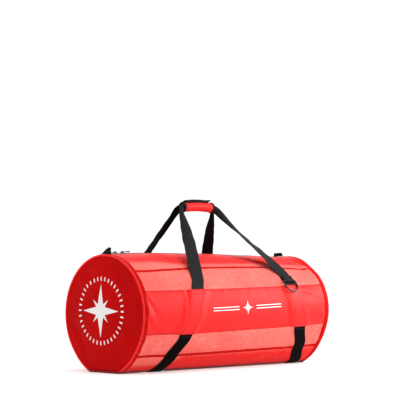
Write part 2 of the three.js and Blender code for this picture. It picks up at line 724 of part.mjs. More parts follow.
// A pull: a plate with a window at its root, whose bar lies in the slider's eye
function pullPlate() {
  const shape = rectangle(new THREE.Shape(), -pull_bar / 2, pull_length, -pull_width / 2, pull_width / 2);
  const side = pull_width / 2 - pull_bar;
  const root = pull_bar / 2;
  shape.holes.push(rectangle(new THREE.Path(), root, root + pull_window, -side, side));
  const plate = new THREE.ExtrudeGeometry(shape, { depth: pull_wall, bevelEnabled: false });
  return plate.translate(0, 0, -pull_wall / 2);
}
const slider_offset = chain_outer + butt_gap;
for (const [name, end] of [["left", -1], ["right", 1]]) {
  const place = slider_at * half + (end * slider_spacing) / 2;
  const group = seat(place, zip_angle, slider_offset, slider_length / 2);
  if (end < 0) group.rotateZ(Math.PI);
  add(`zip_slider_${name}`, sliderBody(), dark_metal, group);
  const pull = add(`zip_pull_${name}`, pullPlate(), bright_metal, group);
  pull.position.set(0, 0, slider_wall + slider_eye / 2);
}

// Tabs at both ends of the zip: webbing folded into a standing loop, sewn down at its feet
function endTab(height) {
  const loop = tab_loop / 2;
  const outer = loop + tab_wall;
  const top = height - outer;
  const shape = new THREE.Shape();
  shape.moveTo(-loop - tab_foot, 0).lineTo(-loop, 0).lineTo(-loop, top);
  shape.absarc(0, top, loop, Math.PI, 0, true);
  shape.lineTo(loop, 0).lineTo(loop + tab_foot, 0).lineTo(loop + tab_foot, tab_wall).lineTo(outer, tab_wall);
  shape.lineTo(outer, top).absarc(0, top, outer, 0, Math.PI, false);
  shape.lineTo(-outer, tab_wall).lineTo(-loop - tab_foot, tab_wall).closePath();
  const settings = { depth: tab_width, bevelEnabled: false, curveSegments: 4 };
  const geometry = new THREE.ExtrudeGeometry(shape, settings);
  return geometry.rotateX(Math.PI / 2).translate(0, tab_width / 2, 0);
}
for (const { name, at, height } of TABS) {
  const group = seat(at * half, zip_angle, ply_gap + butt_gap, tab_foot);
  add(`zip_end_tab_${name}`, endTab(height), black_webbing, group);
}

// D-ring on the front right web: its bar lies in a loop of webbing, and it rests on the panel below
const wire_radius = ring_wire / 2;
const bar_offset = web_outer + butt_gap + webbing_wall + ring_clearance + wire_radius;
const ring_place = webPlace("front", "right", ring_angle);
const ring_seat = seat(ring_place, ring_angle, bar_offset);
const ring_group = new THREE.Group();
ring_group.rotation.x = -ring_rest * turn;
ring_seat.add(ring_group);

function ringSolid() {
  const side = ring_width / 2 - wire_radius;
  const straight = ring_drop - ring_wire - side * 0.75;
  const line = [point(-side, 0, 0), point(0, 0, 0), point(side, 0, 0)];
  for (const angle of spread(0, 180, 8)) {
    line.push(point(side * Math.cos(angle * turn), -straight - side * 0.75 * Math.sin(angle * turn), 0));
  }
  const corners = line.map((at, i) => {
    const before = line[(i + line.length - 1) % line.length];
    const after = line[(i + 1) % line.length];
    const first = at.clone().sub(before).normalize();
    const second = after.clone().sub(at).normalize();
    const along = first.clone().add(second).normalize();
    const outward = point(along.y, -along.x, 0);
    return { at, outward, stretch: 1 / Math.max(0.7, Math.sqrt((1 + first.dot(second)) / 2)) };
  });
  const sections = corners.map(({ at, outward, stretch }) =>
    spread(0, 360, 8).slice(0, -1).map((angle) => {
      const aside = outward.clone().multiplyScalar(wire_radius * stretch * Math.cos(angle * turn));
      return at.clone().add(aside).add(point(0, 0, wire_radius * Math.sin(angle * turn)));
    })
  );
  return loft(sections, true);
}
add("d_ring", ringSolid(), dark_metal, ring_group);

function ringTab() {
  const inner = wire_radius + ring_clearance;
  const outer = inner + webbing_wall;
  const end = ring_tab_length;
  const pinch = ring_tab_length * 0.4; // where the upper ply has come down towards the lower one
  const meet = -inner + butt_gap;
  const quarter = Math.PI / 2;
  const shape = new THREE.Shape();
  shape.moveTo(end, -outer).lineTo(0, -outer).absarc(0, 0, outer, -quarter, -3 * quarter, true);
  shape.lineTo(pinch, outer * 0.9).lineTo(end, meet + webbing_wall).lineTo(end, meet);
  shape.lineTo(pinch, inner * 0.9).lineTo(0, inner).absarc(0, 0, inner, quarter, 3 * quarter, false);
  shape.lineTo(end, -inner).closePath();
  const settings = { depth: ring_tab_width, bevelEnabled: false, curveSegments: 6 };
  const geometry = new THREE.ExtrudeGeometry(shape, settings).translate(0, 0, -ring_tab_width / 2);
  return geometry.rotateY(Math.PI / 2).rotateX(Math.PI / 2);
}
add("d_ring_tab", ringTab(), black_webbing, ring_seat);

export default bag;
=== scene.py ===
# %% [markdown]
# A mesh duffel for dive gear: a round bag of coated cloth and net, lying closed on its flattened base.
# Two webs run right round it, and a padded grip holds them together above the zip. The hard frame comes
# from the CAD model, in metres. Here every soft part is built again as the cloth, net or webbing that it
# is. The CAD solids stay where they are and only stop showing, so the joints keep working.

import json
import math

import bmesh
import bpy
import numpy as np
from mathutils import Matrix, Vector


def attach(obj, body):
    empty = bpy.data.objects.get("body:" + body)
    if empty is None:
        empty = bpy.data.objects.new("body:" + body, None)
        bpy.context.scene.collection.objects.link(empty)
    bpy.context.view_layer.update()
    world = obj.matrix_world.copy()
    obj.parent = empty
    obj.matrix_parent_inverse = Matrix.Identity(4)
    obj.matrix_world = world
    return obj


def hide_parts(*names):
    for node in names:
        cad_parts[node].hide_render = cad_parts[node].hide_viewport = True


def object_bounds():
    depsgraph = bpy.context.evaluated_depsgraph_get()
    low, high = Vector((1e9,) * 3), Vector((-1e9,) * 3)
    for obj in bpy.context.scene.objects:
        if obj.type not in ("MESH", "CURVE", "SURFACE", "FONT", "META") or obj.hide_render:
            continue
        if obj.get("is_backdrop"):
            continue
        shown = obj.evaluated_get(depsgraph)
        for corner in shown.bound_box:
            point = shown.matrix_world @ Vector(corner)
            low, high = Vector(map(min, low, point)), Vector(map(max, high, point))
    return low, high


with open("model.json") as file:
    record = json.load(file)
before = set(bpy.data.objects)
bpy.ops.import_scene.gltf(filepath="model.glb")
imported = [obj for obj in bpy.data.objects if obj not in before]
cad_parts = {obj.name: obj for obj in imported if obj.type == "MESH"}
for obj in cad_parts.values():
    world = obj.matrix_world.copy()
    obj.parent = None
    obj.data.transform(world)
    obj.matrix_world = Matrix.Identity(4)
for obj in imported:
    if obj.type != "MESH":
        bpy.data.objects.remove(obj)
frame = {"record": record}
cad_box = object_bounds()
bpy.ops.object.select_all(action="DESELECT")  # a fresh import is selected, and an operator acts on all of it
print("CAD box", [list(corner) for corner in cad_box])

# %% [markdown]
# The view comes first. A product photograph like this one is taken from far away with a long lens, so
# that the round ends stay round. The camera stands 5.4 m off, level with the top of the bag, and turned
# 44 degrees towards its near end. Its aim is worked out from those two angles, so there's no guessing
# with a target. The picture is square, and a 36 mm film back with a 153 mm lens gives its frame.

# %% Camera
CAMERA_PLACE = (-3.733, -3.84, 0.351)
CAMERA_YAW, CAMERA_PITCH = math.radians(44.16), math.radians(1.86)
camera = bpy.data.objects.new("camera", bpy.data.cameras.new("camera"))
bpy.context.collection.objects.link(camera)
camera.data.lens, camera.data.sensor_width = 152.86, 36.0
aim = Vector((
    math.cos(CAMERA_PITCH) * math.sin(CAMERA_YAW),
    math.cos(CAMERA_PITCH) * math.cos(CAMERA_YAW),
    math.sin(CAMERA_PITCH),
))
camera.location = CAMERA_PLACE
camera.rotation_euler = aim.to_track_quat("-Z", "Y").to_euler()
bpy.context.scene.camera = camera
print("camera looks along", [round(v, 3) for v in aim])

# %% [markdown]
# Shader maths reads best as plain sums. One small class wraps a socket, so that mask * 0.5 + 1 adds the
# Math nodes by itself. A finish is a material with one method that makes any other node. What is the same
# all over a surface is set straight on the shader's own sockets.

# %% A kit for finishes
class Value:
    """A number that a shader works out, which can be written into sums."""

    def __init__(self, finish, socket):
        self.finish, self.socket = finish, socket

    def maths(self, operation, *others, first=None):
        values = [self, *others] if first is None else [first, self]
        inputs = dict(enumerate(values))
        return self.finish.node("ShaderNodeMath", {"operation": operation}, inputs)

    def __add__(self, other):
        return self.maths("ADD", other)

    def __mul__(self, other):
        return self.maths("MULTIPLY", other)

    def __sub__(self, other):
        return self.maths("SUBTRACT", other)

    def __rsub__(self, other):
        return self.maths("SUBTRACT", first=other)

    def __truediv__(self, other):
        return self.maths("DIVIDE", other)

    __radd__, __rmul__ = __add__, __mul__


class Finish:
    """A material with one Principled shader, and the nodes that drive it."""

    def __init__(self, name, colour, roughness, **constants):
        self.material = bpy.data.materials.new(name)
        self.material.use_nodes = True
        self.material.diffuse_color = (*colour, 1)
        self.tree = self.material.node_tree
        self.shader = self.tree.nodes["Principled BSDF"]
        self.set(Roughness=roughness, **{"Base Color": (*colour, 1)}, **constants)

    def set(self, **inputs):
        for name, value in inputs.items():
            self.feed(self.shader.inputs[name.replace("_", " ")], value)
        return self

    def feed(self, socket, value):
        if isinstance(value, Value):
            self.tree.links.new(value.socket, socket)
        else:
            socket.default_value = value

    def node(self, kind, settings=None, inputs=None, out=0):
        node = self.tree.nodes.new(kind)
        for name, value in (settings or {}).items():
            setattr(node, name, value)
        for name, value in (inputs or {}).items():
            self.feed(node.inputs[name], value)
        return Value(self, node.outputs[out])

    def mix(self, share, first, second):
        """A colour between two colours."""
        colours = [(*c, 1) if isinstance(c, tuple) else c for c in (first, second)]
        inputs = {0: share, 6: colours[0], 7: colours[1]}
        return self.node("ShaderNodeMix", {"data_type": "RGBA"}, inputs, out=2)

    def noise(self, scale, detail=3.0, stretch=(1, 1, 1)):
        """Cloudy noise from 0 to 1 over the object, in patches of about 1/scale metres."""
        place = self.node("ShaderNodeTexCoord", out="Object")
        place = self.node("ShaderNodeMapping", {}, {"Vector": place, "Scale": stretch})
        inputs = {"Vector": place, "Scale": scale, "Detail": detail}
        return self.node("ShaderNodeTexNoise", {}, inputs)

    def attribute(self, name):
        return self.node("ShaderNodeAttribute", {"attribute_name": name}, out="Fac")

    def cloth_place(self):
        """The place on the cloth in metres: along the bag or web, and across it."""
        place = self.node("ShaderNodeUVMap", {"uv_map": "cloth"})
        parts = self.node("ShaderNodeSeparateXYZ", {}, {0: place})
        return parts, Value(self, parts.socket.node.outputs[1])

    def wave(self, place, length):
        return (place * (2 * math.pi / length)).maths("SINE")

    def band(self, value, low, high):
        """1 where the value is between two numbers, and 0 elsewhere."""
        return value.maths("GREATER_THAN", low) * value.maths("LESS_THAN", high)

    def ramp(self, value, low, high, first=0.0, last=1.0):
        inputs = {"Value": value, "From Min": low, "From Max": high, "To Min": first, "To Max": last}
        return self.node("ShaderNodeMapRange", {"interpolation_type": "SMOOTHSTEP"}, inputs)

    def painted_floor_shade(self, colour):
        """The colour, with painted shade: darkened over its lowest centimetre, where the thing meets the
        floor.
        """
        place = self.node("ShaderNodeTexCoord", out="Object")
        parts = self.node("ShaderNodeSeparateXYZ", {}, {0: place})
        height = Value(self, parts.socket.node.outputs[2])
        floor_shade_share = self.ramp(height + self.noise(25, 4) * 0.006, 0.004, 0.016, 0.9, 0.0)
        return self.mix(floor_shade_share, colour, (0.012, 0.001, 0.001))

    def bump(self, height, depth, strength=1.0):
        """Lets a height from 0 to 1 stand out by a depth in metres."""
        inputs = {"Height": height, "Distance": depth, "Strength": strength}
        return self.set(Normal=self.node("ShaderNodeBump", {}, inputs))


# %% [markdown]
# The floor is one plain white sheet that runs out of sight and is lit a little from below, and the light
# is a white tent: a bright surround with two soft lamps, one near the right end of the front and one
# above. That is how a catalogue picture gets its white ground with only a thin shadow under the thing.
# The near end faces away from the lamps, and that shade is also painted into the end cloth as a darker red,
# so it stays deeper in colour than the front.

# %% Floor and light
FLOOR_SIZE, FLOOR_GLOW = 40.0, 0.32
bpy.ops.mesh.primitive_grid_add(x_subdivisions=8, y_subdivisions=8, size=FLOOR_SIZE)
floor = bpy.context.object
floor.name = "floor"
floor_finish = Finish("white_floor", (0.70, 0.70, 0.70), 0.9, **{
    "Specular IOR Level": 0.1, "Emission Color": (1, 1, 1, 1), "Emission Strength": FLOOR_GLOW,
})
floor.data.materials.append(floor_finish.material)
floor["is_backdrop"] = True

WORLD_STRENGTH = 1.05
world = bpy.data.worlds.new("white_tent")
world.use_nodes = True
surround = world.node_tree.nodes["Background"].inputs
surround["Color"].default_value, surround["Strength"].default_value = (1, 1, 1, 1), WORLD_STRENGTH
bpy.context.scene.world = world
bpy.context.scene.view_settings.view_transform = "Standard"
LAMP_AIM = Vector((0, 0, 0.2))


def lamp(name, place, size, power):
    light = bpy.data.objects.new(name, bpy.data.lights.new(name, "AREA"))
    light.data.shape, light.data.size, light.data.energy = "DISK", size, power
    light.location = place
    light.rotation_euler = (LAMP_AIM - Vector(place)).to_track_quat("-Z", "Y").to_euler()
    bpy.context.collection.objects.link(light)


lamp("lamp_front", (1.05, -0.75, 0.62), 0.5, 12)
lamp("lamp_top", (0.4, -0.4, 3.6), 2.2, 60)
print("floor and two lamps are in place")

# %% [markdown]
# The whole bag is drawn on one surface, the filled cloth. A place on it has two numbers: how far along the
# bag, and the angle round it, from the middle of the front upwards. The numbers below are those of the
# CAD part, in millimetres. Every piece of cloth, net and webbing asks this one surface where it is, so
# plies that lie on each other can't cross.

# %% Sizes of the bag
MM = 0.001
HALF, RADIUS, AXIS_HEIGHT = 405.0, 179.0, 174.0
SETTLE_CUT, SETTLE_HEIGHT = 6.0, 60.0
PATTERN_ROLL = 2.5
CLOTH_WALL, PLY_GAP, BUTT_GAP = 1.2, 0.6, 0.3
SEAM_ANGLE, PANEL_ANGLE, FACING_ANGLE = 45.5, 21.5, 68.0
SEAM_TAPE_WIDTH, END_BAND_WIDTH = 9.0, 13.0
PIPING_RADIUS, PIPING_PROUD, END_CROWN = 3.0, 1.0, 8.0
PIPING_INSET = 2 * PIPING_RADIUS + BUTT_GAP
CLOTH_END = HALF - PIPING_INSET
BAND_END = CLOTH_END - END_BAND_WIDTH
MM_PER_DEGREE = RADIUS * math.radians(1)
MESH_END = BAND_END - BUTT_GAP
WEB_WIDTH, WEB_WALL = 50.0, 1.8
WEB_INNER, WEB_OUTER = PLY_GAP, PLY_GAP + WEB_WALL
OVER_WEB = WEB_OUTER + PLY_GAP
PANEL_FOLD, BASE_FOLD, FOOT_ROOM = 30.0, 24.0, 8.0
ZIP_ANGLE = 90 + PATTERN_ROLL

SWELL_ANGLES = (0, 45, 90, 135, 180, 235, 360)
SWELL_PLACES = (-1.0, -0.62, 0.0, 0.5, 0.8, 1.0)
SWELL = {  # how far the cloth stands out from a round at those places, as shares of its radius
    0: (0, 0.005, 0, 0, 0, 0),
    45: (0, 0.01, 0.005, -0.008, -0.016, -0.015),
    90: (0, 0.022, 0.01, -0.022, -0.045, -0.035),
    135: (0, 0.01, 0.005, -0.01, -0.02, -0.02),
    180: (0, 0.005, 0, 0, 0, 0),
    235: (0, 0, 0, 0, 0, 0),
    360: (0, 0.005, 0, 0, 0, 0),
}
DENTS = (  # place along the bag, angle, depth, length, spread in degrees
    (0.93, 52, 0.035, 0.3, 14),
    (0.9, -30, 0.03, 0.28, 16),
    (0.62, 66, 0.014, 0.4, 14),
    (-0.8, -34, 0.01, 0.4, 16),
    (0.85, 140, 0.03, 0.35, 18),
)
ROUTE_ANGLES = (-90, -65, -43, -19, 2.5, 24, 38)
ROUTE = {  # where the middle of each web lies at those angles, as shares of the half length
    ("front", "left"): (-0.647, -0.645, -0.622, -0.56, -0.494, -0.427, -0.382),
    ("front", "right"): (0.852, 0.838, 0.753, 0.672, 0.632, 0.6, 0.578),
    ("rear", "left"): (-0.647, -0.645, -0.622, -0.56, -0.494, -0.43, -0.4),
    ("rear", "right"): (0.852, 0.836, 0.69, 0.58, 0.5, 0.43, 0.385),
}
ROUTE_TOP = 39.0  # above this angle the webs are off the cloth
FOOT = {end: ROUTE["front", end][0] * HALF for end in ("left", "right")}
print("bag", 2 * HALF, "mm long and", 2 * RADIUS, "mm through")


# %% [markdown]
# Real cloth is never quite smooth. Folds start at a seam or beside a web, where the cloth is held, and
# die out in the open. Each fold below is a short line on the bag with a depth and a width. Seams draw in a
# little and pucker, because thread is always tighter than cloth. A cloth simulation could make folds too,
# but not these folds in these places, so they are written down as a table.

# %% Folds
FOLDS = (  # from (along, angle) to (along, angle), depth, width; a negative depth is a valley
    ((-218, 23), (-222, -4), -2.6, 7), ((-206, 23), (-214, 8), 1.8, 7), ((-226, 10), (-238, -16), -1.9, 6),
    ((-236, 5), (-240, -14), 1.4, 7), ((-384, 16), (-340, -6), -2.2, 7), ((-388, 6), (-352, -14), 1.8, 8),
    ((-384, 24), (-366, 8), 1.5, 8), ((-384, -6), (-330, -21), -1.6, 8), ((-240, 24), (-226, 15), 1.2, 6),
    ((-168, 58), (-140, 74), -3.0, 9), ((-150, 52), (-118, 66), 2.2, 10), ((-210, 60), (-232, 74), -1.8, 9),
    ((205, 50), (110, 70), -4.2, 12), ((190, 58), (90, 78), 3.2, 15), ((215, 58), (160, 78), -2.4, 10),
    ((272, 16), (330, 10), -2.6, 9), ((268, 9), (318, 2), 1.8, 10), ((300, 19), (372, 12), 2.0, 11),
    ((284, 22), (340, 20), -1.5, 8), ((218, 12), (206, -6), -1.2, 7), ((226, 20), (214, 10), 1.3, 6),
    ((374, 60), (330, 72), -3.4, 12), ((376, 48), (344, 58), 2.6, 12), ((372, 36), (352, 44), -1.8, 10),
    ((378, -24), (340, -36), -2.4, 12), ((376, -10), (352, -18), 1.7, 10), ((374, 22), (346, 30), 1.4, 9),
    ((120, -34), (60, -43), -1.7, 11), ((235, -28), (190, -42), -1.9, 10), ((252, -36), (212, -48), 1.6, 10),
    ((150, -52), (60, -60), 1.8, 13), ((240, -50), (150, -57), -2.2, 12), ((-120, -52), (-30, -58), -1.5, 12),
    ((-384, -30), (-352, -42), -1.5, 10), ((-380, 40), (-350, 50), -1.2, 10),
    ((-376, 58), (-350, 70), 1.3, 11),
    ((40, 24), (34, 14), -0.9, 8), ((-60, 24), (-66, 12), 0.8, 9), ((120, 23), (126, 12), -0.9, 9),
    ((-20, -20), (-14, -10), 0.8, 10), ((90, -20), (84, -8), -0.8, 9),
    ((-376, 160), (-330, 176), -2.0, 10), ((376, 158), (330, 172), -2.4, 11),
    ((-180, 157), (-188, 172), -2.0, 8),
    ((180, 157), (186, 174), -1.9, 8), ((60, 158), (54, 170), 1.1, 10), ((374, 120), (330, 108), -3.0, 13),
    ((-374, 122), (-330, 110), -2.2, 12), ((-120, 112), (-60, 104), 1.6, 13),
    ((90, 112), (150, 103), -1.8, 13),
    ((376, 200), (340, 214), -2.0, 12), ((-376, 204), (-340, 216), 1.8, 12), ((0, 224), (70, 234), -1.6, 13),
)
PUCKER_WAVES = ((0.19, 0.6), (0.31, 2.1), (0.43, 4.4), (0.67, 1.3))  # waves per millimetre, and their start
SEAM_PUCKERS = (  # a seam's angle, its spread in degrees, its depth, and its waves' depth, shift and rate
    (SEAM_ANGLE, 3.2, 1.3, 0.9, 31, 0.5),
    (PANEL_ANGLE, 1.8, 0.7, 0.35, 17, 0.8),
)
RIM_FADE, RIM_WAVE = 14, 0.9
FRONT_TURN = 4.7
UNDER_WEB_SHARE, WEB_CLEAR, WEB_FADE = 0.12, 26, 16


def smooth(share):
    share = np.clip(share, 0, 1)
    return share * share * (3 - 2 * share)


def rows(places, values, at):
    """A value read off a row of numbers, eased between them."""
    places, values, at = np.asarray(places, float), np.asarray(values, float), np.asarray(at, float)
    at = np.clip(at, places[0], places[-1])
    i = np.clip(np.searchsorted(places, at), 1, len(places) - 1)
    share = smooth((at - places[i - 1]) / (places[i] - places[i - 1]))
    return values[i - 1] + (values[i] - values[i - 1]) * share


def puckers(place, length_scale=1.0):
    waves = [np.sin(place * rate * length_scale + start) for rate, start in PUCKER_WAVES]
    return sum(waves) / len(waves)


def aside(angle, middle):
    return np.mod(angle - middle + 180, 360) - 180


def web_middle(side, end, angle):
    from_front = angle if side == "front" else 180 - angle
    return rows(ROUTE_ANGLES, ROUTE[side, end], from_front) * HALF


def web_distance(x, angle):
    """How far a place is from the middle of the nearest web, in millimetres."""
    round_angle = np.mod(angle + 90, 360) - 90
    near = np.full(np.shape(x), 1e3)
    for side, end in ROUTE:
        from_front = round_angle if side == "front" else 180 - round_angle
        away = np.abs(x - web_middle(side, end, round_angle))
        near = np.where(from_front < ROUTE_TOP, np.minimum(near, away), near)
    return near


def fold(away, span, depth, width, fade):
    """The height of one fold at places away from its start, where its span is the fold's own line."""
    share = np.clip(away @ span / (span @ span), 0, 1)
    distance = np.linalg.norm(away - share[..., None] * span, axis=-1) / width
    return depth * (1 - fade * share) * (1 - 0.5 * distance**2) * np.exp(-0.5 * distance**2)


def fold_height(x, angle):
    """How far folds and puckers lift the cloth at a place."""
    height = np.zeros(np.shape(x))
    for start, end, depth, width in FOLDS:
        span = np.array([end[0] - start[0], (end[1] - start[1]) * MM_PER_DEGREE])
        away = np.stack([x - start[0], aside(angle, start[1]) * MM_PER_DEGREE], -1)
        height += fold(away, span, depth, width, 0.8)
    for seam_angle, spread, drawn_in, wave, shift, rate in SEAM_PUCKERS:
        for seam in (seam_angle, 180 - seam_angle, 180 + seam_angle, -seam_angle):
            near = np.exp(-((aside(angle, seam + PATTERN_ROLL) / spread) ** 2))
            height += near * (wave * puckers(x + shift * seam, rate) - drawn_in)
    rim = np.exp(-np.clip(MESH_END - np.abs(x), 0, None) / RIM_FADE)
    height += rim * RIM_WAVE * puckers(angle * MM_PER_DEGREE + np.sign(x) * 90, 0.55)
    free = smooth((web_distance(x, angle) - WEB_CLEAR) / WEB_FADE)
    return height * (UNDER_WEB_SHARE + (1 - UNDER_WEB_SHARE) * free) * smooth((HALF - np.abs(x)) / 8)


def swell(x, angle):
    round_angle = np.mod(angle, 360)
    levels = np.stack([rows(SWELL_PLACES, SWELL[column], x / HALF) for column in SWELL_ANGLES], -1)
    starts = np.array(SWELL_ANGLES, float)
    j = np.clip(np.searchsorted(starts, round_angle, side="right") - 1, 0, len(starts) - 2)
    share = smooth((round_angle - starts[j]) / (starts[j + 1] - starts[j]))
    low = np.take_along_axis(levels, j[..., None], -1)[..., 0]
    high = np.take_along_axis(levels, j[..., None] + 1, -1)[..., 0]
    out = low + (high - low) * share
    for at, middle, depth, length, spread in DENTS:
        away = (x - at * HALF) / (length * RADIUS)
        out = out - depth * np.exp(-(away**2) - (aside(angle, middle) / spread) ** 2)
    return out * RADIUS


def seam_shift(x, angle):
    """Degrees by which the cloth has crept round the bag: its front is turned up towards the right end."""
    rise = 2.4 * smooth((x + 260) / 160) * smooth((330 - x) / 200) - 1.3 * smooth((-230 - x) / 120)
    by_seam = np.exp(-((aside(angle, SEAM_ANGLE + PATTERN_ROLL) / 11) ** 2))
    in_front = np.exp(-((aside(angle, PATTERN_ROLL) / 58) ** 2))
    turned_up = FRONT_TURN * np.clip((x + 190) / 576, 0, 1) ** 1.2
    return turned_up * in_front + rise * by_seam


def skin(x, angle, offset=0.0, floor_height=0.0, folded=True):
    """Points of the filled cloth in millimetres, drawn down towards the floor and held above it."""
    x, angle, offset, floor_height = np.broadcast_arrays(
        *(np.asarray(v, float) for v in (x, angle, offset, floor_height))
    )
    creep = angle + seam_shift(x, angle)
    out = RADIUS + swell(x, angle) + offset + (fold_height(x, angle) if folded else 0)
    turned = np.radians(creep)
    height = AXIS_HEIGHT + out * np.sin(turned)
    drawn = (height - SETTLE_CUT) * SETTLE_HEIGHT / (SETTLE_HEIGHT - SETTLE_CUT)
    height = np.maximum(np.where(height < SETTLE_HEIGHT, drawn, height), floor_height)
    return np.stack([x, -out * np.cos(turned), height], -1)


def floor_lift(x):
    """How far the webs hold the base cloth off the floor."""
    foot = WEB_WIDTH / 2 + FOOT_ROOM
    fold_end = min(FOOT["right"] + foot + BASE_FOLD, BAND_END)
    left = 1 - (np.abs(x - FOOT["left"]) - foot) / BASE_FOLD
    past = np.where(x > FOOT["right"], fold_end - FOOT["right"] - foot, BASE_FOLD)
    right = 1 - (np.abs(x - FOOT["right"]) - foot) / np.maximum(past, BUTT_GAP)
    return (WEB_WALL + PLY_GAP) * np.clip(np.maximum(left, right), 0, 1)


def arc(length):
    return math.degrees(length / RADIUS)


print("skin over the middle:", skin(0, 90).round(1), "mm")

# %% [markdown]
# A ply of cloth is a wall: one grid of points for its outer face, one for its inner face, and a strip of
# quads round its edge. It could be a single face with a Solidify modifier, but with both grids written
# out, the base can lie flat on the floor and still keep its thickness. The edge rows are drawn together a
# little, so that a cut edge looks soft. Each point also stores how near to an edge it is, for the finish.

# %% Making a piece
LIP_PINCH = 0.28  # how far the edge rows are drawn together


def make_piece(name, points, faces, finish, slot, nodes=(), body="root", uvs=None, values=None, sharp=40):
    """A mesh from points in millimetres, turned to face outwards, which rides on a CAD body."""
    points, faces = np.asarray(points, float), np.asarray(faces)
    a, b, c = (points[faces[:, i]] for i in range(3))
    volume = np.einsum("ij,ij->i", a, np.cross(b, c)).sum()
    if faces.shape[1] == 4:
        volume += np.einsum("ij,ij->i", a, np.cross(c, points[faces[:, 3]])).sum()
    if volume < 0:
        faces = faces[:, ::-1]
        uvs = None if uvs is None else uvs[:, ::-1]
    mesh = bpy.data.meshes.new(name)
    mesh.from_pydata((points * MM).tolist(), [], faces.tolist())
    if uvs is not None:
        layer = mesh.uv_layers.new(name="cloth")
        layer.data.foreach_set("uv", (uvs * MM).astype(np.float32).ravel())
    for key, value in (values or {}).items():
        layer = mesh.attributes.new(key, "FLOAT", "POINT")
        layer.data.foreach_set("value", np.asarray(value, np.float32).ravel())
    mesh.materials.append(finish.material)
    piece = bpy.data.objects.new(name, mesh)
    bpy.context.collection.objects.link(piece)
    return settle(piece, slot, nodes, body, sharp)


def settle(piece, slot, nodes=(), body="root", sharp=40):
    """Shades a finished piece, rides it on its CAD body, and hides the CAD parts it stands for."""
    bpy.ops.object.select_all(action="DESELECT")
    piece.select_set(True)
    bpy.context.view_layer.objects.active = piece
    bpy.ops.object.shade_smooth_by_angle(angle=math.radians(sharp))
    piece.select_set(False)
    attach(piece, body)
    if nodes:
        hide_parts(*nodes)
    print(f"{piece.name}: {len(piece.data.polygons)} faces")
    return piece


def wall_faces(shape, ring=False):
    """Quads of a closed wall between two grids of points, as vertex numbers and as grid places."""
    n, m = shape
    numbers = np.arange(n * m).reshape(n, m)
    steps = np.arange(n + 1 if ring else n)
    top = numbers[steps % n]
    places = np.stack(np.meshgrid(steps, np.arange(m), indexing="ij"), -1)

    def quads(grid, under):
        a, b, c, d = grid[:-1, :-1], grid[1:, :-1], grid[1:, 1:], grid[:-1, 1:]
        a2, b2, c2, d2 = under[:-1, :-1], under[1:, :-1], under[1:, 1:], under[:-1, 1:]
        parts = [(a, b, c, d), (d2, c2, b2, a2)]
        parts.append((b[:, :1], a[:, :1], a2[:, :1], b2[:, :1]))
        parts.append((d[:, -1:], c[:, -1:], c2[:, -1:], d2[:, -1:]))
        if not ring:
            parts.append((a[:1], d[:1], d2[:1], a2[:1]))
            parts.append((c[-1:], b[-1:], b2[-1:], c2[-1:]))
        flat = [np.stack(part, 2).reshape(-1, 4, *grid.shape[2:]) for part in parts]
        return np.concatenate(flat)

    return quads(top, top + n * m), quads(places, places)


def edge_share(n, m, ring=False, reach=3):
    """1 at the edges of a grid and 0 from a few rows in."""
    across = np.minimum(np.arange(m), np.arange(m)[::-1])
    along = np.full(n, reach) if ring else np.minimum(np.arange(n), np.arange(n)[::-1])
    near = np.minimum(along[:, None], across[None, :])
    return np.clip(1 - near / reach, 0, 1)


def make_wall(name, outer, inner, finish, slot, nodes=(), ring=False, place=None, **more):
    """A closed wall of cloth between two grids. place gives the cloth's own place at each grid point."""
    n, m = outer.shape[:2]
    lip = LIP_PINCH * (edge_share(n, m, ring, 1) == 1)[..., None]
    outer, inner = outer + (inner - outer) * lip, inner + (outer - inner) * lip
    faces, grid = wall_faces((n, m), ring)
    uvs = None if place is None else place[grid[..., 0], grid[..., 1]]
    edge = edge_share(n, m, ring)
    values = {"edge": np.concatenate([edge.ravel(), edge.ravel()])}
    points = np.concatenate([outer.reshape(-1, 3), inner.reshape(-1, 3)])
    return make_piece(name, points, faces, finish, slot, nodes, uvs=uvs, values=values, **more)


def tube_faces(rounds, sides, scale):
    """Quads of a closed tube of points, and the cloth's place at their corners."""
    numbers = np.arange(rounds * sides).reshape(rounds, sides)
    following = np.roll(numbers, -1, 0)
    faces = np.stack([numbers, following, np.roll(following, -1, 1), np.roll(numbers, -1, 1)], -1)
    grid = np.stack(np.meshgrid(np.arange(rounds), np.arange(sides), indexing="ij"), -1).reshape(-1, 2)
    corners = np.stack([grid, grid + (1, 0), grid + (1, 1), grid + (0, 1)], 1)
    return faces.reshape(-1, 4), corners * np.array(scale)


def cloth_place(x, angle):
    return np.stack([x, np.radians(angle) * RADIUS], -1)


def length_along(points):
    """How far each point of a line is from its start."""
    steps = np.linalg.norm(np.diff(points, axis=0), axis=1)
    return np.concatenate([[0], np.cumsum(steps)])


def strip_place(line, across):
    """The cloth's own place on a strip that follows a line."""
    return np.stack(np.broadcast_arrays(length_along(line)[:, None], across[None]), -1)


# %% [markdown]
# The bag's cloth is coated polyester with a satin face. Seen close, it has a fine plain weave, the red is
# a little uneven, and cut edges and random patches wear paler. It gets only a trace of Sheen, because the
# white tent already makes the front pale. A picture of cloth could be wrapped on it instead, but a weave
# worked out from the cloth's own place stays sharp at any distance, and the script needs no file.

# %% Finish of the cloth
WEAVE_LENGTH = 1.4 * MM
CLOTH_RED = (0.80, 0.006, 0.005)
CLOTH_WORN = (0.88, 0.05, 0.045)
# The ends are the same cloth with a darker red: painted shade, as the ends face away from the lamps. The
# print on the near end is greyed by the same painted shade.
SHADED_END_RED = (0.45, 0.0012, 0.0015)
SHADED_END_WORN = (0.54, 0.004, 0.004)
# The trim is the same red cloth made darker: painted shade under the piping and along the raised seam tapes.
SHADED_TRIM_RED = (0.50, 0.004, 0.004)
PRINT_WHITE, SHADED_END_PRINT_WHITE = (0.9, 0.9, 0.88), (0.72, 0.70, 0.68)


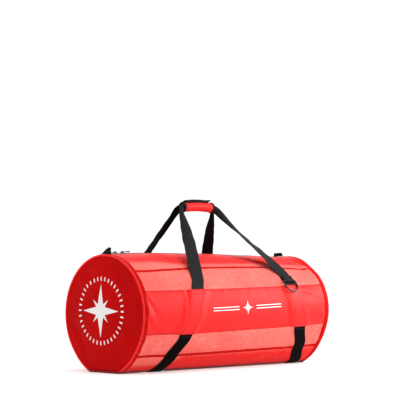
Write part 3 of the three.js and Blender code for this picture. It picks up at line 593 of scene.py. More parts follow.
def cloth_finish(name, colour, worn, print_mask=None, ink=PRINT_WHITE, **constants):
    sheen = {"Sheen Weight": 0.01, "Sheen Roughness": 0.4, "Specular IOR Level": 0.17, **constants}
    finish = Finish(name, colour, 0.5, **sheen)
    along, across = finish.cloth_place()
    weave = finish.wave(along, WEAVE_LENGTH) * finish.wave(across, WEAVE_LENGTH)
    cloudy = finish.noise(9)
    wear = finish.attribute("edge") * 0.3 + finish.ramp(finish.noise(60, 6), 0.52, 0.8) * 0.16
    dark = tuple(0.86 * c for c in colour)
    base = finish.mix(finish.ramp(cloudy, 0.3, 0.7), dark, colour)
    base = finish.mix(wear * 0.7, base, worn)
    base = finish.mix(weave * 0.04 + 0.04, base, dark)
    rough = cloudy * 0.16 + weave * 0.05 + 0.38
    if print_mask is not None:
        mask = print_mask(finish)
        base = finish.mix(mask, base, ink)
        rough = rough - mask * 0.08
    # Painted shade: the cloth darkens over its lowest centimetre, where it meets the floor.
    finish.set(Base_Color=finish.painted_floor_shade(base), Roughness=rough)
    crinkle = finish.noise(140, 4) * 0.5
    return finish.bump(weave * 0.25 + crinkle, 0.0004, 0.5)


# %% [markdown]
# The real bag has white prints on its front and on its near end. A name or a maker's sign has no place on
# a shared part, so here the end shows a plain compass star inside a ring of ticks, and the front a small
# star between two plain rules. They are masks in the cloth's finish, because a print has no thickness to
# speak of: each mask is worked out from the place on the cloth and turns its red white.

# %% Prints
STAR_POINTS = 8
END_PRINT = (0.009, 0.1845, 0.100)  # its middle (y, z), and its radius, in metres
SIDE_PRINT = (0.030, 0.0035, 0.022)  # its middle along and across the cloth, and its radius
RULE_SPAN, RULE_LINE = (0.038, 0.150), (0.003, 0.0055)  # from and to, away from that middle
TICKS, TICK_SPAN, TICK_RING = 36, (0.36, 0.64), (0.9, 1.02)


def star_mask(finish, right, up, radius):
    """A star of long and short points, drawn with the distance from its middle and the angle round it."""
    distance = (right * right + up * up).maths("SQRT")
    angle = up.maths("ARCTAN2", right)
    step = 2 * math.pi / (STAR_POINTS // 2)
    masks = []
    for start, reach in ((0.0, 1.0), (0.5, 0.6)):
        turned = ((angle / step + (start + 0.5)).maths("FRACT") - 0.5) * step
        ahead = distance * turned.maths("COSINE")
        beside = distance * turned.maths("SINE").maths("ABSOLUTE")
        edge = ahead * -0.2 + radius * reach * 0.2
        masks.append(beside.maths("LESS_THAN", edge))
    return distance, angle, masks[0].maths("MAXIMUM", masks[1])


def end_print(finish):
    place = finish.node("ShaderNodeTexCoord", out="Object")
    parts = finish.node("ShaderNodeSeparateXYZ", {}, {0: place}).socket.node.outputs
    y, z, radius = END_PRINT
    right, up = Value(finish, parts[1]) - y, Value(finish, parts[2]) - z
    distance, angle, star = star_mask(finish, right, up, radius * 0.8)
    ticks = (angle * (TICKS / (2 * math.pi)) + 0.5).maths("FRACT")
    ring = finish.band(distance, *(radius * share for share in TICK_RING))
    return star.maths("MAXIMUM", finish.band(ticks, *TICK_SPAN) * ring)


def side_print(finish):
    along, across = finish.cloth_place()
    middle, height, radius = SIDE_PRINT
    right, up = along - middle, across - height
    _, _, star = star_mask(finish, right, up, radius)
    beside = finish.band(right.maths("ABSOLUTE"), *RULE_SPAN)
    rules = beside * finish.band(up.maths("ABSOLUTE"), *RULE_LINE)
    return star.maths("MAXIMUM", rules)


panel_red = cloth_finish("panel_cloth", CLOTH_RED, CLOTH_WORN)
printed_red = cloth_finish("printed_cloth", CLOTH_RED, CLOTH_WORN, side_print)
DULL = {"Sheen Weight": 0.0, "Specular IOR Level": 0.02}
# Painted shade: both end discs use the darker red of the shaded ends.
shaded_end_red = cloth_finish("end_cloth", SHADED_END_RED, SHADED_END_WORN, **DULL)
printed_shaded_end = cloth_finish("printed_end_cloth", SHADED_END_RED, SHADED_END_WORN, end_print, SHADED_END_PRINT_WHITE, **DULL)
# Painted shade: the seam tapes and end bands use the darker trim red.
shaded_trim_red = cloth_finish("trim_tape", SHADED_TRIM_RED, CLOTH_RED, **DULL)
piping_red = cloth_finish("piping_cloth", CLOTH_RED, CLOTH_WORN)
cloths = (panel_red, printed_red, shaded_end_red, printed_shaded_end, shaded_trim_red, piping_red)
print("cloth finishes:", [cloth.material.name for cloth in cloths])

# %% [markdown]
# The front and rear panels are one band of cloth each, sewn over the webs that carry the load. The cloth
# climbs over a web, shows its edges through, and comes down again, so each grid is told how far it rises
# at each place. The rest of the cloth is plainer: facings beside the zip, the base, and tapes over the
# four long seams.

# %% Panels, facings, base and seam tapes
LENGTH_STEPS = 258


def lengthways(name, from_angle, to_angle, finish, slot, node, steps, rise=None, thickness=CLOTH_WALL):
    x, angle = np.meshgrid(
        np.linspace(-MESH_END, MESH_END, LENGTH_STEPS),
        np.linspace(from_angle, to_angle, steps) + PATTERN_ROLL,
        indexing="ij",
    )
    lift = floor_lift(x)
    up = 0 if rise is None else rise(x, angle)
    outer = skin(x, angle, up, lift)
    inner = skin(x, angle, up - thickness, lift + thickness)
    place = cloth_place(x, angle - PATTERN_ROLL)
    return make_wall(name, outer, inner, finish, slot, [node], place=place)


def panel_rise(side):
    """How far a panel's cloth rises over the two webs under it."""
    def rise(x, angle):
        over = np.zeros_like(x)
        for end in ("left", "right"):
            away = np.abs(x - web_middle(side, end, angle)) - WEB_WIDTH / 2 - PLY_GAP
            over = np.maximum(over, smooth(1 - away / PANEL_FOLD))
        return over * (OVER_WEB + CLOTH_WALL)
    return rise


EDGE = arc(BUTT_GAP / 2)
for side, middle, finish in (("front", 0, printed_red), ("rear", 180, panel_red)):
    low, high = middle - PANEL_ANGLE + EDGE, middle + PANEL_ANGLE - EDGE
    node = f"side_panel_{side}"
    lengthways(f"{side}_panel", low, high, finish, "panel_cloth", node, 46, panel_rise(side))

ZIP_OPENING = 20.0
ZIP_EDGE = 90 - arc(ZIP_OPENING / 2)
FACING_EDGE = FACING_ANGLE + EDGE
for name, node, low, high, steps in (
    ("front_zip_facing", "zip_facing_front", FACING_EDGE, ZIP_EDGE, 24),
    ("rear_zip_facing", "zip_facing_rear", 180 - ZIP_EDGE, 180 - FACING_EDGE, 24),
    ("base_cloth", "base_panel", 180 + FACING_EDGE, 360 - FACING_EDGE, 40),
):
    lengthways(name, low, high, panel_red, "panel_cloth", node, steps)

TAPE_HALF = arc(SEAM_TAPE_WIDTH / 2)
SEAMS = {
    "upper_front": SEAM_ANGLE,
    "upper_rear": 180 - SEAM_ANGLE,
    "lower_rear": 180 + SEAM_ANGLE,
    "lower_front": 360 - SEAM_ANGLE,
}


def tape_rise(x, angle):
    """A bound seam stands a little proud, and is drawn into waves by its thread."""
    return 0.45 + 0.35 * puckers(x * 1.7 + angle, 1.0)


for place, middle in SEAMS.items():
    name, node = f"{place}_seam", f"seam_tape_{place}"
    lengthways(name, middle - TAPE_HALF, middle + TAPE_HALF, shaded_trim_red, "trim", node, 7, tape_rise)

# %% [markdown]
# The net is a knitted one with six-sided holes, about 5 mm apart. It is real geometry: six strands round
# each hole, each with a ridge at its middle and a thin edge at the hole: 24 small triangles in a cell. A
# texture with see-through holes would be lighter, but it would look flat from the side. At each edge of a
# strip the net is caught in a narrow folded selvage. The knit opens where it is stretched flat and closes
# up towards the zip and the base. There its holes are smaller and its colour runs from a pale salmon to
# full red. The points store how far they are closed.

# %% Finish of the net
NET_PITCH = 5.0
HOLE_SHARE, CLOSED_SHRINK = 0.27, 0.7  # a hole's share of its cell, and what it loses where closed
SELVAGE = 3.2
NET_HALF_WALL = 0.5
NET_PALE = (0.82, 0.19, 0.155)
NET_MID = (0.80, 0.125, 0.10)
NET_DEEP = (0.70, 0.009, 0.007)

net_red = Finish("net_yarn", NET_MID, 0.62, **{
    "Sheen Weight": 0.02, "Sheen Roughness": 0.5, "Specular IOR Level": 0.1,
})
closed = net_red.attribute("closed")
yarn = net_red.mix(net_red.ramp(net_red.noise(7, 3), 0.25, 0.75), NET_MID, NET_PALE)
speck = net_red.ramp(net_red.noise(420, 2), 0.45, 0.75)
grain = net_red.ramp(net_red.noise(300, 2), 0.4, 0.62)
yarn = net_red.mix(grain * 0.4, net_red.mix(speck * 0.3, yarn, NET_PALE), NET_DEEP)
# Painted shade: the net darkens over its lowest centimetre, near the floor.
yarn = net_red.painted_floor_shade(net_red.mix(closed, yarn, NET_DEEP))
net_red.set(Base_Color=yarn, Roughness=speck * 0.2 + 0.5)
twist = net_red.noise(900, 2, (1, 1, 2.5))
net_red.bump(twist, 0.0003, 0.6)


# %% Net strips
CLOSING = {  # angle from a panel's middle where the knit starts to close: at the left end, and further on
    "upper": (53, 47, -300, 150),  # then where along the bag that changes, and over what length
    "lower": (53, 42, -250, 60),
}
CLOSING_SPREAD = 9


def net_cells(length, width, pitch):
    """Flat cells that fill a strip: their middles, the corners of one, and the lattice the corners lie on."""
    step_x, step_y = pitch, pitch * math.sqrt(3) / 2
    columns, row_count = int(length / step_x), int(round(width / step_y))
    step_x, step_y = length / columns, width / row_count
    i, j = np.meshgrid(np.arange(columns), np.arange(row_count), indexing="ij")
    middles = np.stack([(i + 0.25 + 0.5 * (j % 2)) * step_x, (j + 0.5) * step_y], -1).reshape(-1, 2)
    turns = np.radians(30 + 60 * np.arange(6))
    reach = np.array([step_x / math.sqrt(3), step_y / 1.5])
    corners = np.stack([np.cos(turns), np.sin(turns)], -1) * reach
    return middles, corners, np.array([step_x / 4, step_y / 6])


def strip_points(flat, depth, low_angle):
    """Flat places on a strip, as points on the bag at a depth under its face, and their angles."""
    x, angle = flat[:, 0] - MESH_END, low_angle + flat[:, 1] / MM_PER_DEGREE
    return skin(x, angle, -depth, floor_lift(x) + depth), angle - PATTERN_ROLL


def closed_share(node, points, turn):
    """How far the knit is closed up at places on a strip, from 0 to 1."""
    first, last, start, length = CLOSING["upper" if "top" in node or "upper" in node else "lower"]
    open_to = first + (last - first) * smooth((points[:, 0] - start) / length)
    from_middle = np.abs(np.mod(turn + 90, 180) - 90)
    return smooth((from_middle - open_to) / CLOSING_SPREAD)


def net_strip(name, from_angle, to_angle, node):
    """One strip of net: upper and lower ridges round every hole, joined at the holes' thin edges."""
    low = min(from_angle, to_angle) + PATTERN_ROLL
    width, full_length = abs(to_angle - from_angle) * MM_PER_DEGREE, 2 * MESH_END
    inner_width, length = width - SELVAGE, full_length - SELVAGE
    middles, corners, lattice = net_cells(length, inner_width, NET_PITCH)
    rim = middles[:, None] + corners[None]
    # A knitted hole is never quite the same: each is moved by up to half a millimetre and has its own size.
    drawn = np.random.default_rng(len(node)).random((3, len(middles), 1, 1))
    hole = middles[:, None] + np.concatenate([drawn[0], drawn[1]], -1) - 0.5
    closed = closed_share(node, *strip_points(middles + SELVAGE / 2, np.zeros(len(middles)), low))
    share = HOLE_SHARE * (1 - CLOSED_SHRINK * closed[:, None, None]) * (0.75 + 0.5 * drawn[2])
    hole = hole + corners[None] * share
    keys = np.round(rim.reshape(-1, 2) / lattice).astype(int)
    _, first, shared = np.unique(keys, axis=0, return_index=True, return_inverse=True)
    ridge = np.clip(rim.reshape(-1, 2)[first], 0, [length, inner_width]) + SELVAGE / 2
    holes = np.clip(hole.reshape(-1, 2), 0, [length, inner_width]) + SELVAGE / 2
    middle_depth = CLOTH_WALL / 2
    top, turn = strip_points(ridge, np.full(len(ridge), middle_depth - NET_HALF_WALL), low)
    under, _ = strip_points(ridge, np.full(len(ridge), middle_depth + NET_HALF_WALL), low)
    inside, hole_turn = strip_points(holes, np.full(len(holes), middle_depth), low)
    count = len(ridge)
    rims = shared.reshape(-1, 6)
    lips = 2 * count + np.arange(len(holes)).reshape(-1, 6)
    after, lips_after = np.roll(rims, -1, 1), np.roll(lips, -1, 1)
    upper = np.stack([rims, after, lips_after, lips], -1).reshape(-1, 4)
    lower = np.stack([after + count, rims + count, lips, lips_after], -1).reshape(-1, 4)
    edges = np.stack([rims, after], -1).reshape(-1, 2)
    _, inverse, uses = np.unique(np.sort(edges, 1), axis=0, return_inverse=True, return_counts=True)
    lone = edges[uses[inverse.ravel()] == 1]
    sides = np.stack([lone[:, 1], lone[:, 0], lone[:, 0] + count, lone[:, 1] + count], -1)
    points = [top, under, inside]
    faces = [upper, lower, sides]
    turns = [turn, turn, hole_turn]
    total = sum(len(p) for p in points)
    spans = (
        (0, full_length, 0, SELVAGE),
        (0, full_length, width - SELVAGE, width),
        (0, SELVAGE, SELVAGE, width - SELVAGE),
        (full_length - SELVAGE, full_length, SELVAGE, width - SELVAGE),
    )
    for x0, x1, y0, y1 in spans:
        nx, ny = max(3, int((x1 - x0) / 5)), max(3, int((y1 - y0) / 3))
        x, y = np.meshgrid(np.linspace(x0, x1, nx), np.linspace(y0, y1, ny), indexing="ij")
        flat = np.stack([x, y], -1).reshape(-1, 2)
        outer, edge_turn = strip_points(flat, np.zeros(len(flat)), low)
        inner, _ = strip_points(flat, np.full(len(flat), CLOTH_WALL), low)
        wall, _ = wall_faces((nx, ny))
        points += [outer, inner]
        turns += [edge_turn, edge_turn]
        faces.append(wall + total)
        total += 2 * len(flat)
    points, faces = np.concatenate(points), np.concatenate(faces)
    closed = closed_share(node, points, np.concatenate(turns))
    return make_piece(name, points, faces, net_red, "net", [node], values={"closed": closed}, sharp=80)


PAST_TAPE = arc(SEAM_TAPE_WIDTH / 2 + BUTT_GAP)
QUARTERS = (
    ("front", "upper", "top", lambda a: a),
    ("rear", "upper", "top", lambda a: 180 - a),
    ("rear", "lower", "bottom", lambda a: 180 + a),
    ("front", "lower", "bottom", lambda a: 360 - a),
)
for side, near, far, turned in QUARTERS:
    near_ends = [turned(PANEL_ANGLE + EDGE), turned(SEAM_ANGLE - PAST_TAPE)]
    far_ends = [turned(SEAM_ANGLE + PAST_TAPE), turned(FACING_ANGLE - EDGE)]
    net_strip(f"{near}_{side}_net", *near_ends, f"mesh_{near}_{side}")
    net_strip(f"{far}_{side}_net", *far_ends, f"mesh_{far}_{side}")

# %% [markdown]
# Each end of the bag is a disc of the same cloth, sewn to the side through a piping: a thin cord wrapped
# in a strip of cloth. Inside that, a band binds the raw ends of the net and of the panels. The disc is
# tight at the rim and slack at the middle, so it crowns a little and carries shallow folds. A disc from a
# primitive would show none of this, so its rings are drawn from the rim inwards, with the folds added.

# %% End bands and piping
BAND_ROUNDS, BAND_COLUMNS = 240, 9
PIPING_ROUNDS, PIPING_SIDES = 420, 14


def band_wall(name, from_x, to_x, node):
    turned, along = np.meshgrid(
        np.linspace(0, 360, BAND_ROUNDS + 1), np.linspace(from_x, to_x, BAND_COLUMNS), indexing="ij",
    )
    angle, x = turned[:-1], along[:-1]
    lift = floor_lift(x)
    hem = 0.5 * np.sin(np.pi * np.linspace(0, 1, BAND_COLUMNS)) + 0.25 * puckers(angle * 3.1, 0.9)
    outer, inner = skin(x, angle, hem, lift), skin(x, angle, hem - CLOTH_WALL, lift + CLOTH_WALL)
    make_wall(name, outer, inner, shaded_trim_red, "trim", [node], ring=True, place=cloth_place(along, turned))


def piping(name, end, node):
    """A tube of cloth round the rim, a little uneven where the cloth gathers round its cord."""
    turns = np.radians(np.arange(PIPING_SIDES) * 360 / PIPING_SIDES)
    angle, turn = np.meshgrid(np.linspace(0, 360, PIPING_ROUNDS, endpoint=False), turns, indexing="ij")
    gather = 0.16 * puckers(angle * 7.3 + 2 * np.sin(turn), 1.0)
    reach = PIPING_RADIUS + gather
    x = end * (HALF - PIPING_RADIUS + reach * np.sin(turn))
    out = reach * np.cos(turn)
    points = skin(x, angle, PIPING_PROUD - PIPING_RADIUS + out, PIPING_RADIUS - out, folded=False)
    points = points.reshape(-1, 3)
    scale = 2 * math.pi * RADIUS / PIPING_ROUNDS, 2 * math.pi * PIPING_RADIUS / PIPING_SIDES
    faces, uvs = tube_faces(PIPING_ROUNDS, PIPING_SIDES, scale)
    values = {"edge": np.full(len(points), 0.25)}
    make_piece(name, points, faces, piping_red, "piping", [node], uvs=uvs, values=values, sharp=80)


band_wall("left_end_band", -CLOTH_END, -BAND_END, "end_band_left")
band_wall("right_end_band", BAND_END, CLOTH_END, "end_band_right")
piping("left_piping", -1, "piping_left")
piping("right_piping", 1, "piping_right")

# %% End panels
END_FOLDS = (  # from (across, up) to (across, up) on the disc as seen from the left, depth, width
    ((-120, 110), (-40, 60), 3.3, 16), ((-90, 135), (-10, 90), -2.7, 14), ((60, 140), (110, 80), -2.25, 15),
    ((-150, -60), (-100, -130), 3.3, 15), ((-130, -40), (-60, -120), -2.55, 18),
    ((40, -150), (120, -110), -3.0, 17), ((150, 30), (130, -50), 2.4, 16), ((-20, 160), (30, 120), 2.1, 13),
    ((100, -60), (60, -130), 1.8, 17),
)
END_RINGS, END_AROUND = 56, 200


def end_panel(name, end, finish, node):
    """A disc from its rim to its middle, with a wall of cloth and a crown."""
    angles = np.linspace(0, 360, END_AROUND, endpoint=False)
    place = end * (HALF - PIPING_RADIUS)
    rim = skin(np.full(END_AROUND, place), angles, PIPING_PROUD - PIPING_INSET, PIPING_INSET, folded=False)
    middle = np.array([place, 0, AXIS_HEIGHT])
    shares = np.linspace(1, 0, END_RINGS) ** 0.8
    grid = middle + (rim[:, None] - middle) * shares[None, :, None]
    grid[:, -1] = middle
    across, up = grid[..., 1] * end, grid[..., 2] - AXIS_HEIGHT
    slack = np.zeros(across.shape)
    for start, stop, depth, width in END_FOLDS:
        span = np.subtract(stop, start).astype(float)
        away = np.stack([across - start[0], up - start[1]], -1)
        slack += fold(away, span, depth, width, 0.7)
    slack *= smooth((1 - shares) / 0.16)
    near_rim = np.exp(-(((1 - shares) / 0.05) ** 2)) * smooth((1 - shares) / 0.02)
    slack = slack + near_rim * 0.8 * puckers(angles * 3.3, 0.8)[:, None]
    out = END_CROWN * (1 - shares**2) + slack
    outer, inner = grid.copy(), grid.copy()
    outer[..., 0], inner[..., 0] = place + end * out, place + end * (out - CLOTH_WALL)
    outer[:, -1], inner[:, -1] = outer[:, -1].mean(0), inner[:, -1].mean(0)
    flat = grid[..., 1:]
    flat = np.concatenate([flat, flat[:1]])
    piece = make_wall(name, outer, inner, finish, "end_cloth", [node], ring=True, place=flat)
    mesh = bmesh.new()
    mesh.from_mesh(piece.data)
    bmesh.ops.remove_doubles(mesh, verts=mesh.verts, dist=1e-6)
    bmesh.ops.dissolve_degenerate(mesh, edges=mesh.edges, dist=1e-7)
    mesh.to_mesh(piece.data)
    mesh.free()


end_panel("left_end_cloth", -1, printed_shaded_end, "end_panel_left")
end_panel("right_end_cloth", 1, shaded_end_red, "end_panel_right")

# %% [markdown]
# The webs are heavy flat tapes, 50 mm wide. Each leg leaves the grip cupped into a half round, because the
# grip squeezes it, then opens and twists on its way down until it lies flat on the bag. A curve with a
# flat bevel can twist, but it can't change its cup, so each web is a row of sections. A section knows
# where it is, which way it runs, which way its width points, how wide it is and how much it is cupped.
# The twill's ribs are a fine bump, and random patches are rubbed a little paler. The rear and belly webs
# get a darker, duller copy of the webbing: painted shade, as they lie away from the lamps.

# %% Finish of the webbing
WEB_BLACK = (0.0055, 0.0055, 0.006)
WEB_LIGHT = (0.014, 0.014, 0.0145)


def web_finish(name, rib=2.1 * MM, black=WEB_BLACK, light=WEB_LIGHT, shine=0.06):
    finish = Finish(name, black, 0.6, **{
        "Sheen Weight": 0.2 * shine, "Sheen Roughness": 0.4, "Specular IOR Level": shine,
    })
    along, across = finish.cloth_place()
    lean = (across * (math.pi / (7 * MM))).maths("SINE").maths("ABSOLUTE") * 0.9 * rib
    ribs = finish.wave(along + lean, rib) * 0.5 + 0.5
    cords = finish.wave(across, 1.6 * MM) * 0.5 + 0.5
    worn = finish.ramp(finish.noise(70, 5), 0.45, 0.8)
    finish.set(
        Base_Color=finish.mix(ribs * 0.35 + worn * 0.35, black, light),
        Roughness=ribs * 0.12 + worn * 0.1 + 0.48,
    )
    return finish.bump(ribs * 0.6 + cords * 0.4, 0.00045, 0.7)


web_black = web_finish("webbing")
# Painted shade: a darker, duller copy of the webbing for the rear and belly webs.
shaded_web = web_finish(
    "shaded_webbing", black=(0.002, 0.0015, 0.0015), light=(0.005, 0.004, 0.004), shine=0.01,
)
print("webbing finish ready")

# %% The grip's line and the webs' places
GRIP_HALF, GRIP_HEIGHT, GRIP_SHIFT, GRIP_ARCH = 65.0, 505.0, -18.0, 5.0
CORE_RADIUS, CUPPED_WIDTH = 12.0, 28.0
LEG_LEAD, LEG_BEND, BEND_OUT, BEND_DOWN = 1.0, 14.0, 0.6, 0.15
FULL_WIDTH_AT, TANGENT_ANGLE = 0.6, 38.0
GRIP_CUP = CUPPED_WIDTH / (CORE_RADIUS - WEB_WALL)
LEGS = {  # along the free leg from the grip to the bag: (share, sag, twist in degrees, cup)
    ("front", "left"): ((0, 0, 0, 1), (0.1, 0, 62, 0.6), (0.27, 0, 56, 0.28), (0.44, 0, 33, 0.12),
                        (0.62, 0, 12, 0.04), (0.8, 0, 4, 0), (1, 0, 0, 0)),
    ("rear", "left"): ((0, 0, 0, 1), (0.1, 0, -70, 0.5), (0.26, 0, -60, 0.25), (0.44, 0, -48, 0.1),
                       (0.6, 0, -34, 0.05), (0.72, 0, -20, 0.02), (0.84, 0, -9, 0), (1, 0, 0, 0)),
    ("front", "right"): ((0, 0, 0, 1), (0.11, 0.004, -36, 0.5), (0.2, 0.008, -54, 0.34),
                         (0.33, 0.01, -61, 0.2), (0.51, 0.008, -47, 0.08), (0.68, 0, -30, 0.02),
                         (0.84, 0, -13, 0), (1, 0, 0, 0)),
    ("rear", "right"): ((0, 0, 0, 1), (0.08, 0, 34, 0.5), (0.16, 0, 42, 0.3), (0.25, 0, 42, 0.18),
                        (0.35, 0, 32, 0.1), (0.46, 0, 20, 0.06), (0.62, 0, 8, 0), (0.8, 0, 2, 0),
                        (1, 0, 0, 0)),
}
ACROSS = np.linspace(-0.5, 0.5, 15)
GRIP_SECTIONS, BEND_SECTIONS, FREE_SECTIONS, LAID_SECTIONS, BELLY_SECTIONS = 12, 6, 40, 30, 110


def unit(vectors):
    """The same directions at length 1."""
    return vectors / np.maximum(np.linalg.norm(vectors, axis=-1, keepdims=True), 1e-9)


def grip_height(x):
    """The height of the grip's line, which is arched a little."""
    share = (x - GRIP_SHIFT) / GRIP_HALF
    return GRIP_HEIGHT - GRIP_ARCH * share * share


def web_faces(at, along, across, width, cup):
    """The outer and inner face of a free section, cupped about its own line."""
    outward = unit(np.cross(across, along))
    bend = max(cup, 0.01) * GRIP_CUP
    inner_radius = width / bend
    turned = bend * ACROSS[:, None]
    faces = []
    for reach in (inner_radius + WEB_WALL, inner_radius):
        raised = reach * np.cos(turned) - inner_radius
        faces.append(at + across * reach * np.sin(turned) + outward * raised)
    return faces


def laid_faces(side, end, angle, flip):
    """The two faces of a section that lies on the bag."""
    x = web_middle(side, end, angle) + flip * ACROSS * WEB_WIDTH
    return [skin(x, angle, WEB_OUTER, 0.0), skin(x, angle, WEB_INNER, WEB_WALL)]


def web_piece(name, sections, node, finish, eased=()):
    """A web lofted through its sections, with the bend between two of them eased."""
    outer = np.array([section[0] for section in sections])
    inner = np.array([section[1] for section in sections])
    for _ in range(6):
        for grid in (outer, inner):
            for low, high in eased:
                around = grid[low - 1:high - 1] + grid[low + 1:high + 1]
                grid[low:high] = (around + 2 * grid[low:high]) / 4
    place = strip_place(outer[:, len(ACROSS) // 2], ACROSS * WEB_WIDTH)
    return make_wall(name, outer, inner, finish, "webbing", [node], place=place)


def strap_leg(side, end):
    """A leg in four stretches: in the grip, round its bend, free to the bag, and laid on the cloth."""
    front, outwards = (-1 if side == "front" else 1), (-1 if end == "left" else 1)
    leg = np.array(LEGS[side, end], float)
    sections = []
    aside_grip = np.array([0, front * (CORE_RADIUS - WEB_WALL), 0])
    first_across = np.array([0, 0, front * outwards], float)
    out = np.array([outwards, 0, 0], float)
    for reach in np.linspace(BUTT_GAP / 2, GRIP_HALF + LEG_LEAD, GRIP_SECTIONS):
        x = GRIP_SHIFT + outwards * reach
        at = np.array([x, 0, grip_height(x)]) + aside_grip
        sections.append(web_faces(at, out, first_across, CUPPED_WIDTH, leg[0][3]))
    start = at
    meet_angle = TANGENT_ANGLE if side == "front" else 180 - TANGENT_ANGLE
    landing = skin(web_middle(side, end, meet_angle), meet_angle, WEB_INNER)
    corner = start + np.array([outwards * LEG_BEND * BEND_OUT, 0, -LEG_BEND * BEND_DOWN])
    into = unit(landing - corner)
    turned = corner + into * LEG_BEND
    free = np.linalg.norm(landing - turned)
    total = free + LEG_BEND
    path = []
    for share in np.linspace(0.17, 1, BEND_SECTIONS):
        at = (1 - share) ** 2 * start + 2 * share * (1 - share) * corner + share**2 * turned
        path.append((at, unit((1 - share) * (corner - start) + share * (turned - corner)), share * LEG_BEND))
    for run in np.linspace(0.04, 0.96, FREE_SECTIONS) * free:
        path.append((turned + into * run, into, LEG_BEND + run))
    for at, along, run in path:
        share = run / total
        sag, twist, cup = (rows(leg[:, 0], leg[:, i], share) for i in (1, 2, 3))
        across = first_across + (np.array([front, 0, 0]) - first_across) * smooth(share)
        across = unit(across - along * (across @ along))
        across = np.array(Matrix.Rotation(math.radians(float(twist)), 3, Vector(along)) @ Vector(across))
        width = CUPPED_WIDTH + (WEB_WIDTH - CUPPED_WIDTH) * smooth(share / FULL_WIDTH_AT)
        sections.append(web_faces(at - np.array([0, 0, sag * total]), along, across, width, cup))
    landed = len(sections)
    stop = PATTERN_ROLL + EDGE if side == "front" else 180 + PATTERN_ROLL - EDGE
    for angle in np.linspace(meet_angle, stop, LAID_SECTIONS):
        sections.append(laid_faces(side, end, angle, front))
    eased = ((GRIP_SECTIONS - 2, GRIP_SECTIONS + 12), (landed - 6, landed + 4))
    finish = web_black if side == "front" else shaded_web
    web_piece(f"{side}_{end}_strap", sections, f"strap_{side}_{end}", finish, eased)


for end in ("left", "right"):
    for side in ("front", "rear"):
        strap_leg(side, end)
    low, high = 180 + PATTERN_ROLL + EDGE, 360 + PATTERN_ROLL - EDGE
    sections = []
    for angle in np.linspace(low, high, BELLY_SECTIONS):
        side = "rear" if angle < 270 else "front"
        sections.append(laid_faces(side, end, angle - 360 if side == "front" else angle, 1))
    web_piece(f"{end}_belly_strap", sections, f"belly_web_{end}", shaded_web)

# %% [markdown]
# The grip is a padded sleeve: foam in red cloth, wrapped round both webs and bound in black tape at its
# ends. It swells between its bindings and is drawn in at them, and its underside creases where the grip
# bends. A hook-and-loop closure holds it along the top, and its loose right end lifts off and narrows to a
# point. The sleeve is a stuffed piece, but small and tightly filled, so its swelling is written down
# instead of simulated.

# %% Grip
WRAP_INNER, WRAP_WALL, WRAP_SLIT = CORE_RADIUS + PLY_GAP, 3.2, 40.0
BINDING_WIDTH, BINDING_ROUNDS = 7.0, 72
BINDING_ALONG = (7.4, 7.2, 6.0, 3.5, 1.0, -0.4, -0.3, 3.0)  # the outline of a binding: along the grip
BINDING_OUT = (0.1, 3.4, 4.35, 4.5, 4.3, 3.2, -0.2, -0.35)  # and out from it, at the same points
CLOSURE_LENGTH, CLOSURE_WALL, CLOSURE_SPREAD = 108.0, 3.0, 96.0
grip_red = cloth_finish("grip_cloth", (0.70, 0.009, 0.010), CLOTH_WORN)
closure_black = web_finish("closure_tape", 1.3 * MM, (0.003, 0.0015, 0.0015), (0.010, 0.006, 0.006), 0.05)


def round_grip(x, angle, reach):
    """Points round the grip's line, at a reach from it."""
    turned = np.radians(angle)
    return np.stack([x, reach * np.cos(turned), grip_height(x) + reach * np.sin(turned)], -1)


wrap_reach = GRIP_HALF - BINDING_WIDTH * 0.6
u, v = np.meshgrid(np.linspace(-1, 1, 90), np.linspace(0, 1, 72), indexing="ij")
x, angle = GRIP_SHIFT + u * wrap_reach, 90 + WRAP_SLIT / 2 + v * (360 - WRAP_SLIT)
ends = 1 - np.abs(u) ** 8
lips = smooth(np.minimum(v, 1 - v) / 0.05)
under = np.exp(-((aside(angle, 270) / 50) ** 2))
creases = under * (0.45 * np.sin(x / 3.1 + 0.7 * np.sin(x / 9)) + 0.25 * np.sin(x / 5.7)) * (1 - u**4)
sides = 0.3 * puckers(x * 2.2 + angle * 0.3, 1.2)
thick = WRAP_WALL * (0.42 + 0.72 * ends * (0.35 + 0.65 * lips)) + (creases + sides) * ends
outer = round_grip(x, angle, WRAP_INNER + thick)
inner = round_grip(x, angle, WRAP_INNER + 0 * x)
place = np.stack([x, np.radians(angle) * (WRAP_INNER + WRAP_WALL)], -1)
wrap = make_wall("grip_sleeve", outer, inner, grip_red, "grip", ["grip_wrap"], place=place, sharp=60)


def grip_binding(name, end, node):
    """Tape folded over the sleeve's end, as a rounded ring."""
    turns = np.linspace(0, 360, BINDING_ROUNDS, endpoint=False)
    turn, along = np.meshgrid(turns, BINDING_ALONG, indexing="ij")
    x = GRIP_SHIFT + end * (GRIP_HALF - BINDING_WIDTH + along * 0.97)
    wave = 0.12 * np.sin(np.radians(turn * 9)) + 0.1 * np.sin(np.radians(turn * 5))
    points = round_grip(x, turn, WRAP_INNER + np.array(BINDING_OUT) + wave).reshape(-1, 3)
    faces, uvs = tube_faces(BINDING_ROUNDS, len(BINDING_ALONG), (1.4, 2.6))
    make_piece(name, points, faces, web_black, "webbing", [node], uvs=uvs[:, :, ::-1], sharp=70)


grip_binding("left_grip_binding", -1, "grip_binding_left")
grip_binding("right_grip_binding", 1, "grip_binding_right")

